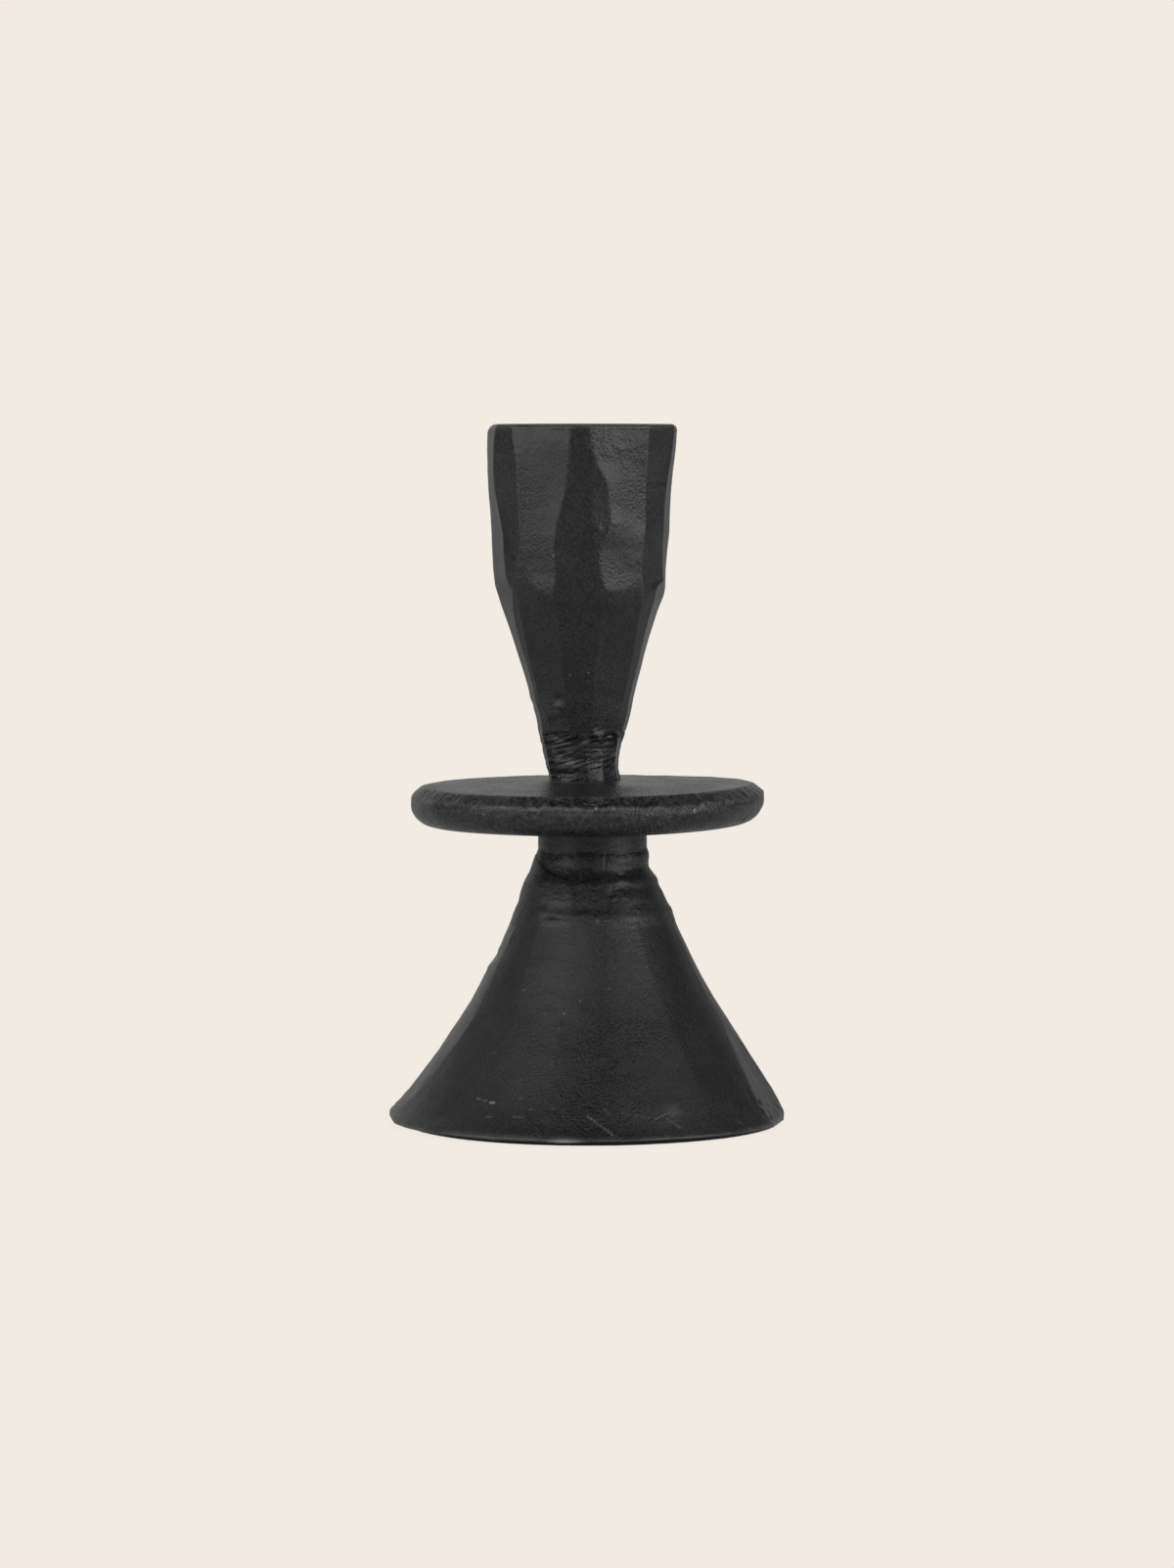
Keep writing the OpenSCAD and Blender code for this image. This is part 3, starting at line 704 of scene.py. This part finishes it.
def make_piece(name, parts, loops=False, wear_and_sheen=()):
    """Closed mesh over parts, each a run of rings, going up the outside. It ends in fans, or loops back.

    The attribute of wear and painted sheen is given for its first levels."""
    rings = np.concatenate(parts)
    levels, columns = rings.shape[:2]
    ridge = ridges(rings).ravel()
    gone = np.zeros(levels * columns)
    gone[:np.size(wear_and_sheen)] = np.ravel(wear_and_sheen)
    index = np.arange(levels * columns).reshape(levels, columns)
    low = index if loops else index[:-1]
    high = np.roll(index, -1, axis=0) if loops else index[1:]
    quads = np.stack([low, np.roll(low, -1, axis=1), np.roll(high, -1, axis=1), high], axis=-1)
    points = rings.reshape(-1, 3)
    faces = quads.reshape(-1, 4).tolist()
    if not loops:
        start, end = levels * columns, levels * columns + 1
        points = np.vstack([points, rings[0].mean(axis=0), rings[-1].mean(axis=0)])
        ridge, gone = np.append(ridge, [0, 0]), np.append(gone, [0, 0])
        faces += fan(start, np.roll(index[0], -1), index[0])
        faces += fan(end, index[-1], np.roll(index[-1], -1))
    mesh = bpy.data.meshes.new(name)
    mesh.from_pydata((points * MM).tolist(), [], faces)
    mesh.polygons.foreach_set("use_smooth", [True] * len(mesh.polygons))
    for title, values in zip(ATTRIBUTES, (ridge, gone)):
        layer = mesh.attributes.new(title, "FLOAT", "POINT")
        layer.data.foreach_set("value", values.astype(np.float32))
    mesh.update()
    piece = bpy.data.objects.new(name, mesh)
    bpy.context.collection.objects.link(piece)
    dress(piece)
    return piece


def node_box(node):
    """Lowest and highest corner of a CAD node, in millimetres."""
    low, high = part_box(node)
    return np.array(low) / MM, np.array(high) / MM


def make_camera():
    """Camera about level with the cup's top, looking slightly down."""
    data = bpy.data.cameras.new("camera")
    data.sensor_width = CAMERA_SENSOR
    data.lens = CAMERA_LENS
    data.clip_start, data.clip_end = CAMERA_CLIP
    camera = bpy.data.objects.new("camera", data)
    camera.location = CAMERA_PLACE
    camera.rotation_euler = (math.radians(90 - CAMERA_DOWN), 0, 0)
    bpy.context.collection.objects.link(camera)
    bpy.context.scene.camera = camera


def add(tree, kind, links=None, **settings):
    """Adds a shader node. A link is a value, or the socket that it comes from."""
    item = tree.nodes.new("ShaderNode" + kind)
    for name, value in settings.items():
        setattr(item, name, value)
    for socket, source in (links or {}).items():
        if isinstance(source, bpy.types.NodeSocket):
            tree.links.new(source, item.inputs[socket])
        else:
            item.inputs[socket].default_value = source
    return item


def remap(tree, value, low, high, first, last, smoothly=False):
    """Maps a value from low..high to first..last."""
    links = {"Value": value, "From Min": low, "From Max": high, "To Min": first, "To Max": last}
    kind = "SMOOTHSTEP" if smoothly else "LINEAR"
    return add(tree, "MapRange", links, interpolation_type=kind).outputs["Result"]


def sums(tree, operation, first, second=0):
    """One step of arithmetic."""
    return add(tree, "Math", {0: first, 1: second}, operation=operation).outputs[0]


def scaled(tree, vector, factor):
    """A vector or colour times a number."""
    return add(tree, "VectorMath", {0: vector, 3: factor}, operation="SCALE").outputs[0]


def grain(tree, place, size, detail, rough=0.5):
    """Noise from 0 to 1 with bumps of a size in millimetres."""
    links = {"Vector": place, "Scale": 1 / size, "Detail": detail, "Roughness": rough}
    return add(tree, "TexNoise", links).outputs["Fac"]


def fresh_tree(owner):
    """Empty node tree of a material or world."""
    owner.use_nodes = True
    owner.node_tree.nodes.clear()
    return owner.node_tree


def split_by_eye(tree, for_light, for_camera):
    """Shows one shader to the camera and another to everything that the scene lights."""
    seen = add(tree, "LightPath").outputs["Is Camera Ray"]
    mixed = add(tree, "MixShader", {0: seen, 1: for_light.outputs[0], 2: for_camera.outputs[0]})
    return mixed.outputs[0]


def direction(azimuth, elevation):
    """Unit vector towards an azimuth and elevation."""
    side, rise = math.radians(azimuth), math.radians(elevation)
    return (math.sin(side) * math.cos(rise), -math.cos(side) * math.cos(rise), math.sin(rise))


def make_world():
    """Soft studio light: broad softboxes in a dim room, before a plain pale backdrop."""
    world = bpy.data.worlds.new("studio")
    bpy.context.scene.world = world
    tree = fresh_tree(world)
    way = add(tree, "TexCoord").outputs["Generated"]
    light = ROOM_GLOW
    for azimuth, elevation, half_width, strength in SOFTBOXES.values():
        aim = {0: way, 1: direction(azimuth, elevation)}
        facing = add(tree, "VectorMath", aim, operation="DOT_PRODUCT").outputs["Value"]
        edge = math.cos(math.radians(half_width))
        light = sums(tree, "ADD", light, remap(tree, facing, edge, 1, 0, strength, smoothly=True))
    room = add(tree, "Background", {"Color": (1, 1, 1, 1), "Strength": light})
    backdrop = add(tree, "Background", {"Color": (*BACKDROP, 1), "Strength": 1})
    add(tree, "OutputWorld", {"Surface": split_by_eye(tree, room, backdrop)})


def make_floor():
    """Plain pale floor in the backdrop's colour, with painted shadow that makes it a little darker close to
    the foot.
    """
    mesh = bpy.data.meshes.new("floor")
    half = FLOOR_SIZE / 2
    corners = [(-half, -half, 0), (half, -half, 0), (half, half, 0), (-half, half, 0)]
    mesh.from_pydata(corners, [], [(0, 1, 2, 3)])
    floor = bpy.data.objects.new("floor", mesh)
    bpy.context.collection.objects.link(floor)
    material = bpy.data.materials.new("pale_floor")
    tree = fresh_tree(material)
    # Painted contact shadow: ambient occlusion dims the glow near the foot.
    near = {"Distance": PAINTED_SHADOW_REACH}
    shade = add(tree, "AmbientOcclusion", near, samples=PAINTED_SHADOW_SAMPLES).outputs["AO"]
    shadowed_glow = remap(tree, shade, 0, 1, 1 - PAINTED_SHADOW_DEPTH, 1)
    pale = add(tree, "Emission", {"Color": (*BACKDROP, 1), "Strength": shadowed_glow})
    dim = add(tree, "Emission", {"Color": (1, 1, 1, 1), "Strength": FLOOR_GLOW})
    add(tree, "OutputMaterial", {"Surface": split_by_eye(tree, dim, pale)})
    mesh.materials.append(material)


def iron_material(name, base, wear_and_sheen, rough, grit, lines, speckle, scuffs):
    """Waxed black iron: blotches, grit, file lines, dust, scuffs, worn places and painted sheen."""
    material = bpy.data.materials.new(name)
    tree = fresh_tree(material)
    place = scaled(tree, add(tree, "TexCoord").outputs["Object"], 1 / MM)
    stretch = {0: place, 1: LINE_STRETCH}
    flat = add(tree, "VectorMath", stretch, operation="MULTIPLY").outputs[0]
    blotch = grain(tree, place, BLOTCH_SIZE, 3)
    patch = grain(tree, place, PATCH_SIZE, 2)
    fine = grain(tree, place, FINE_SIZE, 2, 0.6)
    folds = sums(tree, "ABSOLUTE", remap(tree, grain(tree, place, FOLD_SIZE, 1), 0, 1, -1, 1))
    filed = grain(tree, flat, LINE_SIZE, 3, 0.6)

    least = max(0.1, 1 - speckle)
    mean = (least + 1 + speckle) / 2
    specks = remap(tree, fine, *FINE_BAND, least / mean, (1 + speckle) / mean)
    blotches = remap(tree, blotch, *BLOTCH_BAND, 1 - TONE_SWING, 1 + TONE_SWING)
    dark = scaled(tree, base, sums(tree, "MULTIPLY", blotches, specks))
    # The attribute holds real wear, and also painted sheen and highlight on the cup weld and the plate's
    # lip.
    ridge, wear_and_sheen_share = (
        add(tree, "Attribute", attribute_name=title).outputs["Fac"] for title in ATTRIBUTES
    )
    edge = remap(tree, ridge, *RIDGE_BAND, 0, RIDGE_WEAR)
    rubbed = sums(tree, "MULTIPLY", edge, remap(tree, blotch, *RUBBED_BAND, RUBBED_LEAST, 1))
    gone = sums(tree, "MAXIMUM", rubbed, wear_and_sheen_share)
    cells = add(tree, "TexVoronoi", {"Vector": place, "Scale": 1 / DUST_SPACING})
    dust = remap(tree, cells.outputs["Distance"], *DUST_BAND, DUST_WEAR, 0)
    scuffed = remap(tree, grain(tree, place, SCUFF_SIZE, 3, 0.7), *SCUFF_BAND, 0, scuffs)
    wear = sums(tree, "ADD", sums(tree, "MAXIMUM", gone, dust), scuffed)
    colour = add(tree, "Mix", {0: wear, 6: dark, 7: (*wear_and_sheen, 1)}, data_type="RGBA").outputs[2]

    crinkle = sums(tree, "SUBTRACT", fine, folds)
    depths = (grit * share for share in GRIT_SHARES)
    gritty = sums(tree, "MULTIPLY", crinkle, remap(tree, patch, *GRIT_BAND, *depths))
    height = sums(tree, "ADD", gritty, remap(tree, filed, 0, 1, 0, lines))
    bump = add(tree, "Bump", {"Strength": 1, "Distance": MM, "Height": height}).outputs[0]
    matt = remap(tree, blotch, *BLOTCH_BAND, rough - ROUGH_SWING, rough + ROUGH_SWING)
    sparkle = remap(tree, fine, *FINE_BAND, -ROUGH_SWING * speckle, ROUGH_SWING * speckle)
    shader = add(tree, "BsdfPrincipled", {
        "Base Color": colour, "Roughness": sums(tree, "ADD", matt, sparkle), "Normal": bump,
        "IOR": 1.5, "Specular IOR Level": 0.5,
    })
    add(tree, "OutputMaterial", {"Surface": shader.outputs[0]})
    return material


def make_cup():
    """Stem and cup, with the tenon below and the candle socket above. The stem starts inside the weld."""
    low, high = node_box("candle_cup")
    rim_z = high[2]
    joint_z = CUP_OUTLINE[0][0]
    azimuths = turn(CUP_COLUMNS)
    rounds = read_off(RIM_ROUND, azimuths)
    curve = rim_z - rounds.max() * (1 - np.sin(np.radians(np.arange(0, 91, 9))))
    heights = np.append(np.arange(joint_z - STEM_START, curve[0] - 0.1, CUP_STEP), curve)
    outer = stack(flats_stack(CUP_EDGES, heights, CUP_COLUMNS), heights, *CUP_AXIS)
    outer = fit_outline(soften(outer, 2), CUP_OUTLINE, 10)
    outer[..., 2] += read_off(SHOULDER_WAVE, azimuths) * hump(outer[..., 2], SHOULDER_Z, SHOULDER_REACH)
    proud, wear_and_sheen = marks(outer, CUP_MARKS)
    proud += uneven(outer, "cup")
    proud += np.minimum(PITTED_LEAST + spots(outer, CUP_ROUGH), PITTED_MOST) * uneven(outer, "cup_pits")
    proud -= STEM_SUNK * ramp(joint_z - outer[..., 2], 0, STEM_SUNK_H)
    over = outer[..., 2] - rim_z + rounds
    burr = hump(over, -BURR_BELOW, BURR_H)
    proud += burr * (BURR_PROUD + uneven(outer, "burr"))
    wear_and_sheen = np.maximum(wear_and_sheen, BURR_WORN * burr * patchy(outer, "burr_worn", 0.5))
    proud -= rounds * (1 - np.sqrt(1 - (np.clip(over, 0, rounds) / rounds) ** 2))
    outer = push(outer, CUP_CENTRE, proud)

    face_rings, wall_rings, point_rings = CUP_RINGS
    socket_r = SOCKET["r_mm"]
    floor_z = rim_z - SOCKET_DEPTH
    tip_z = floor_z - socket_r / math.tan(math.radians(DRILL_HALF_ANGLE))
    mouth = circle(socket_r + SOCKET_LEAD, rim_z, *CUP_AXIS)
    face = blend_rings(outer[-1:], mouth, face_rings)
    face[:-1, :, 2] += uneven(face[:-1], "cup_face") - FACE_SUNK
    top = circle(socket_r, rim_z - SOCKET_LEAD, *CUP_AXIS)
    end = circle(socket_r, floor_z, *CUP_AXIS)
    tip = circle(DRILL_TIP_R, tip_z, *CUP_AXIS)
    socket = [top, blend_rings(top, end, wall_rings), blend_rings(end, tip, point_rings)]
    hole = [circle(DOWEL_HOLE_R, low[2] + rise, 0, CUP_COLUMNS) for rise in (DOWEL_IN_CUP, 0)]
    tenon = [circle(TENON_R, z, *CUP_AXIS) for z in (low[2], heights[0])]
    below = np.concatenate([*hole, *tenon])
    gone = np.concatenate([np.zeros(below.shape[:2]), wear_and_sheen])
    make_piece("cup", [below, outer, face, *socket], wear_and_sheen=gone)


def make_cup_weld():
    """Weld under the stem, filed down roughly. Its ragged upper part lies on the stem."""
    foot_z = node_box("cup_weld")[0][2]
    joint_z, edges = CUP_EDGES[0]
    turn_low, turn_high = (joint_z + rise for rise in CUP_WELD_TURN)
    heights = np.arange(foot_z - CUP_WELD_SUNK, CUP_WELD_TOP + 2, CUP_WELD_STEP)
    table = [(foot_z, CUP_WELD_EDGES), (turn_low, CUP_WELD_EDGES), (turn_high, edges), CUP_EDGES[1]]
    rings = stack(flats_stack(table, heights, CUP_COLUMNS), heights, *CUP_AXIS)
    rings = fit_outline(soften(rings, 4), CUP_WELD_OUTLINE + CUP_OUTLINE[:5], 4)
    level = rings[..., 2]
    top = CUP_WELD_TOP + uneven(circle(CUP_WELD_BELT_R, joint_z, *CUP_AXIS), "cup_weld_top")
    over = ramp(level, top - CUP_WELD_THIN_BELOW, CUP_WELD_THIN_H)
    proud, wear_and_sheen = marks(rings, CUP_WELD_MARKS)
    front = np.clip(np.cos(np.radians(turn(CUP_COLUMNS))), 0, 1) ** 2
    proud += CUP_WELD_TOE * front * (1 - ramp(level, foot_z + CUP_WELD_TOE_START, CUP_WELD_TOE_H))
    aslant = rings + rings[..., :1] * np.array([0, 0, CUP_WELD_SLANT])
    rippled = CUP_WELD_RIPPLED + uneven(rings, "filed")
    proud += CUP_WELD_PROUD + uneven(rings, "cup_weld") + rippled * uneven(aslant, "ripples")
    # Painted sheen: lighter colour in patches on the weld, standing in for highlights.
    sheen_patches = spots(rings, CUP_WELD_SHEEN_SPOTS) * patchy(aslant, "sheen_patches", CUP_WELD_SHEEN_LEAST)
    wear_and_sheen = np.maximum(wear_and_sheen, CUP_WELD_SHEEN * sheen_patches)
    rings = push(rings, CUP_CENTRE, proud * (1 - over) - CUP_WELD_END * over)
    bore = [circle(TENON_R + WELD_GAP, z, *CUP_AXIS) for z in (heights[-1], heights[0])]
    make_piece("cup_weld_bead", [rings, *bore], loops=True, wear_and_sheen=wear_and_sheen)


def make_plate():
    """Thick round drip plate with a ragged hammered bevel."""
    low, high = node_box("drip_plate")
    edge_z = low[2] + PLATE_EDGE_H
    belt = circle(PLATE_R, edge_z, 0, PLATE_COLUMNS)
    flats = np.tile((flats_radius(np.array(PLATE_EDGES, float), PLATE_COLUMNS) - 1) * PLATE_R, (3, 1))
    flats = PLATE_EDGE_SHARE * soften(flats, 3)[1]
    width = PLATE_BEVEL[0] + uneven(belt, "bevel_width")[0]
    depth = PLATE_BEVEL[1] + uneven(belt, "bevel_depth")[0]
    lip_r = PLATE_R - LIP_INSET + uneven(belt, "bevel_lip")[0] + flats / 2
    controls = [circle(PLATE_CROWN_R, low[2], 0, PLATE_COLUMNS)]
    for part in np.linspace(0, math.pi / 2, 10):
        inset, rise = PLATE_UNDER[0] * (1 - math.sin(part)), PLATE_UNDER[1] * (1 - math.cos(part))
        controls.append(circle(PLATE_R - inset, low[2] + rise, 0, PLATE_COLUMNS))
    controls += [
        circle(lip_r, edge_z - depth, 0, PLATE_COLUMNS),
        circle(PLATE_R - width + flats, edge_z, 0, PLATE_COLUMNS),
        circle(PLATE_CROWN_R, edge_z + PLATE_CROWN_H, 0, PLATE_COLUMNS),
        circle(PLATE_LAND_R, high[2] - PLATE_LAND_DROP, 0, PLATE_COLUMNS),
    ]
    rings = soften(loft(controls, PLATE_STEP), 1)
    outer = ramp(np.linalg.norm(rings[..., :2], axis=-1), *PLATE_OUTER)
    aside = np.abs(np.sin(np.radians(turn(PLATE_COLUMNS)))) ** 8
    bevel = hump(rings[..., 2], edge_z - BEVEL_BELOW, BEVEL_REACH) * outer
    proud, wear_and_sheen = marks(rings, PLATE_MARKS)
    proud += outer * uneven(rings, "plate_side")
    proud += bevel * (1 - BEVEL_CALM * aside) * uneven(rings, "bevel") + BEVEL_FULL * bevel * aside
    # Painted highlight: lighter colour in patches along the lip under the bevel.
    lip = hump(rings[..., 2], edge_z - depth - LIP_HIGHLIGHT_BELOW, LIP_HIGHLIGHT_REACH) * outer
    wear_and_sheen = np.maximum(wear_and_sheen, LIP_HIGHLIGHT * lip * patchy(rings, "lip_highlight"))
    rings = push(rings, 0, proud)
    over = ramp(rings[..., 2], edge_z, PLATE_TOP_H)
    for name in ("plate_top", "plate_top_fine"):
        rings[..., 2] += over * uneven(rings, name)
    right = np.clip(rings[..., 0], 0, None) / PLATE_R
    rings[..., 2] += PLATE_RISE_RIGHT * right ** 2
    rings[..., 0] += PLATE_REACH_RIGHT * right ** 4
    inner = [circle(DOWEL_HOLE_R, z, 0, PLATE_COLUMNS) for z in (high[2], low[2])]
    make_piece("drip_plate_forged", [rings, *inner], loops=True, wear_and_sheen=wear_and_sheen)


def make_plate_weld():
    """Small fillet weld under the plate, in overlapping ripples."""
    low, high = node_box("plate_weld")
    leg = high[2] - low[2]
    inner_r = NECK_R + WELD_GAP
    share, power = PLATE_WELD_FACE
    columns = PLATE_WELD_COLUMNS
    ripple = RIPPLE_DEPTH * np.sin(np.radians(turn(columns) * RIPPLE_COUNT))
    rings = []
    for part in np.linspace(0, math.pi / 2, 8):
        face = leg * share * np.sin(part) ** power - PLATE_WELD_SUNK
        radius = inner_r + face + ripple * np.sin(2 * part)
        rings.append(circle(radius, high[2] - leg * np.cos(part), NECK_CENTRE, columns))
    rings = np.concatenate(rings)
    rings = push(rings, NECK_CENTRE, uneven(rings, "plate_weld"))
    bore = [circle(inner_r, z, NECK_CENTRE, columns) for z in (high[2], low[2])]
    make_piece("plate_weld_bead", [rings, *bore], loops=True)


def make_neck():
    """Round bar between foot and drip plate, with the hole for the dowel."""
    low, high = node_box("neck_bar")
    heights = np.arange(low[2], high[2] + 0.1, NECK_STEP_H)
    heights[-1] = high[2]
    rings = stack(np.full(len(heights), NECK_R), heights, NECK_CENTRE, CUP_COLUMNS)
    rings = push(rings, NECK_CENTRE, uneven(rings, "neck") - NECK_SUNK)
    start = circle(NECK_START_R, low[2], NECK_CENTRE, CUP_COLUMNS)
    hole = [circle(DOWEL_HOLE_R, z, 0, CUP_COLUMNS) for z in (high[2], high[2] - DOWEL_IN_NECK)]
    make_piece("neck", [start, rings, *hole])


def make_neck_weld(foot):
    """Flared, lumpy weld between neck and foot. It lies on the foot, keeps its shape and thins out above."""
    start_z = NECK_WELD_EDGE - NECK_WELD_START
    heights = np.arange(start_z, NECK_WELD_OUTLINE[-1][0], NECK_WELD_STEP)
    rings = stack(np.ones(len(heights)), heights, NECK_CENTRE, FOOT_COLUMNS)
    rings = fit_outline(rings, NECK_WELD_OUTLINE, 4)
    place = np.interp(heights, foot[..., 2].mean(axis=1), np.arange(len(foot)))
    under = np.minimum(place.astype(int), len(foot) - 2)
    shell = foot[under] + (foot[under + 1] - foot[under]) * (place - under)[:, None, None]
    own = smooth(ramp(heights, NECK_WELD_SHELL, NECK_WELD_OWN - NECK_WELD_SHELL))[:, None]
    rings = shell + (rings - shell) * own[..., None]
    level = rings[..., 2]
    azimuths = turn(FOOT_COLUMNS)
    belt = circle(NECK_WELD_BELT_R, NECK_WELD_EDGE, NECK_CENTRE, FOOT_COLUMNS)
    crease = read_off(NECK_CREASE, azimuths) + uneven(belt, "crease")[0]
    top = NECK_WELD_TOP + uneven(belt, "neck_weld_top")[0]
    edge_z = NECK_WELD_EDGE + uneven(belt, "neck_weld_edge")[0]
    proud, wear_and_sheen = marks(rings, NECK_WELD_MARKS)
    proud *= ramp(level, *NECK_WELD_MARKS_IN)
    proud += NECK_WELD_PROUD + own * uneven(rings, "lumps") + uneven(rings, "neck_weld")
    lumpy = np.minimum(spots(rings, NECK_WELD_ROUGH), 1)
    proud += own * lumpy * uneven(rings, "lumps_rough")
    above = ramp(level, crease, CREASE_WIDTH + uneven(belt, "crease_width")[0])
    proud = proud * (1 - CREASE_CALM * above) - read_off(NECK_STEP, azimuths) * above
    low_depth, low_h = NECK_WELD_THIN_LOW
    high_depth, high_h = NECK_WELD_THIN_HIGH
    proud -= low_depth * ramp(edge_z - level, 0, low_h) + high_depth * ramp(level, top - high_h / 2, high_h)
    rings = push(rings, NECK_CENTRE, proud)
    bore_r = NECK_R - NECK_WELD_BORE
    bore = [circle(bore_r, z, NECK_CENTRE, FOOT_COLUMNS) for z in (heights[-1], heights[0])]
    make_piece("neck_weld_bead", [rings, *bore], loops=True, wear_and_sheen=wear_and_sheen)


def make_foot():
    """Flared hollow foot, beaten from sheet in broad planes, with one big flat on its right.

    Gives its rings, and its outer rings as they go on under the neck weld."""
    low, high = node_box("foot_cone")
    rim_z = low[2]
    heights = np.arange(rim_z, NECK_WELD_OWN, FOOT_STEP)
    angle = turn(FOOT_COLUMNS)
    half = np.radians(read_off(FLAT_HALF_WIDTH, heights))[:, None]
    away = np.radians((angle - FLAT_AZIMUTH + 180) % 360 - 180)
    chord = np.clip(np.cos(half) / np.maximum(np.cos(away), 0.2), np.cos(half), 1)
    planes = read_off(FOOT_EDGE_SHARE, heights)[:, None]
    share = 1 + planes * (flats_stack(FOOT_EDGES, heights, FOOT_COLUMNS) - 1)
    rings = stack(FOOT_R * share * chord, heights, NECK_CENTRE, FOOT_COLUMNS)
    rings = soften(push(rings, 0, uneven(rings, "bent")), 3)
    rings = fit_outline(rings, FOOT_OUTLINE, 2)
    proud, wear_and_sheen = marks(rings, FOOT_MARKS)
    for *ends, width, wear in FOOT_SCRATCHES:
        line = scratch(rings, ends[:2], ends[2:], width)
        proud -= SCRATCH_DEPTH * line
        wear_and_sheen = np.maximum(wear_and_sheen, wear * line)
    proud += uneven(rings, "foot")
    proud += (FOOT_GRIT + FOOT_GRIT_GAIN * patchy(rings, "gritty")) * uneven(rings, "grit")
    proud += np.minimum(spots(rings, FOOT_ROUGH), 1) * uneven(rings, "beaten")
    above_rim = rings[..., 2] - rim_z
    near_rim = hump(above_rim, 0, RIM_LINE_H)
    middle, half_width = RIM_LINE_AT
    lined = near_rim * patchy(rings, "rim_worn") * (np.abs(angle - middle) < half_width)
    wear_and_sheen = np.maximum(wear_and_sheen, RIM_LINE_WORN * lined)
    proud += near_rim * uneven(rings, "rim")
    flare = np.clip(np.abs(np.cos(np.radians(angle))) * RIM_FLARE_WIDE, 0, 1)
    proud += flare * read_off(RIM_FLARE, heights)[:, None]
    proud -= RIM_EDGE * flare * (1 - ramp(above_rim, 0, RIM_EDGE))
    end = 1 - ramp(above_rim, 0, RIM_WORN_LEFT_H)
    proud -= RIM_WORN_LEFT * hump(angle, *RIM_WORN_LEFT_AT) * end ** 1.5
    whole = push(rings, 0, proud)

    heights = heights[heights < high[2] + FOOT_EXTRA]
    sunk = FOOT_SUNK * ramp(heights[:, None], high[2] + FOOT_SUNK_START, FOOT_SUNK_H)
    rings = push(whole[:len(heights)], NECK_CENTRE, -sunk)
    drop = 0.5 + uneven(rings[:1], "rim_drop") - np.clip(angle / RIM_DROP_TURN, -0.4, 0.4)
    rings[:1, :, 2] -= RIM_DROP * np.clip(drop, 0, 1) + RIM_DROP_RIGHT * hump(angle, *RIM_DROP_AT)
    inner = []
    for level in range(len(heights) - 1, 0, -INNER_LEVELS):
        centre = NECK_CENTRE * heights[level] / heights[-1]
        inner.append(drawn_in(rings[level:level + 1], centre, SHEET_INSET, heights[level]))
    inner.append(drawn_in(rings[:1], 0, SHEET_INSET, rim_z))
    make_piece("foot_shell", [rings, *inner], loops=True, wear_and_sheen=wear_and_sheen)
    return rings, whole


def make_seam(foot):
    """Ground weld bead down the seam of the sheet, at the left of the foot, with a pit in it."""
    across = np.linspace(-1, 1, SEAM_POINTS) * SEAM_W / 2
    bead = SEAM_PROUD * np.cos(across / SEAM_W * math.pi) - SEAM_SUNK
    outer, inner = [], []
    for ring in foot[SEAM_START:]:
        radius = np.hypot(ring[:, 0], ring[:, 1])
        azimuth = SEAM_AZIMUTH + np.degrees(across / radius.mean())
        size, height = (np.interp(azimuth, turn(FOOT_COLUMNS), values) for values in (radius, ring[:, 2]))
        side, front = np.sin(np.radians(azimuth)), -np.cos(np.radians(azimuth))
        for rows, far in ((outer, size + bead), (inner, size - SEAM_DEPTH)):
            rows.append(np.stack([far * side, far * front, height], axis=-1))
    outer, inner = np.array(outer), np.array(inner)
    pit = hump(across, PIT_ASIDE, PIT_R) * hump(outer[..., 2], PIT_Z, PIT_R)
    outer = push(outer, 0, uneven(outer, "seam") - PIT_DEPTH * pit)
    make_piece("seam_bead", [np.concatenate([outer, inner[:, ::-1]], axis=1)])


def make_felt():
    """Felt disc under the foot, with a slightly furry, uneven edge."""
    low, high = node_box("felt_pad")
    columns = FOOT_COLUMNS
    thick = high[2] - low[2]
    angle = np.radians(turn(columns))
    ends = np.where(angle < 0, *FELT_ENDS)
    oval = 1 / np.hypot(np.sin(angle) / ends, np.cos(angle) / (high[1] - FELT_SHORT))
    edge = np.concatenate([
        circle(oval - inset, low[2] + share * thick, 0, columns) for share, inset in FELT_EDGE
    ])
    edge = push(edge, 0, uneven(edge, "felt"))
    start, end = (circle(FELT_MIDDLE_R, z, 0, columns) for z in (low[2], high[2]))
    under = blend_rings(start, edge[:1], FELT_RINGS)[:-1]
    over = blend_rings(edge[-1:], end, FELT_RINGS)
    piece = make_piece("felt_disc", [start, under, edge, over])


make_camera()
make_world()
make_floor()
finishes = {name: iron_material(name, *settings) for name, settings in FINISHES.items()}
make_cup()
make_cup_weld()
make_plate()
make_plate_weld()
make_neck()
foot, whole_foot = make_foot()
make_neck_weld(whole_foot)
make_seam(foot)
make_felt()
for name, finish in CAD_FINISHES.items():
    node = frame["nodes"][name]
    node.data.materials.clear()
    node.data.materials.append(finishes[finish])

bpy.context.scene.view_settings.view_transform = "Standard"
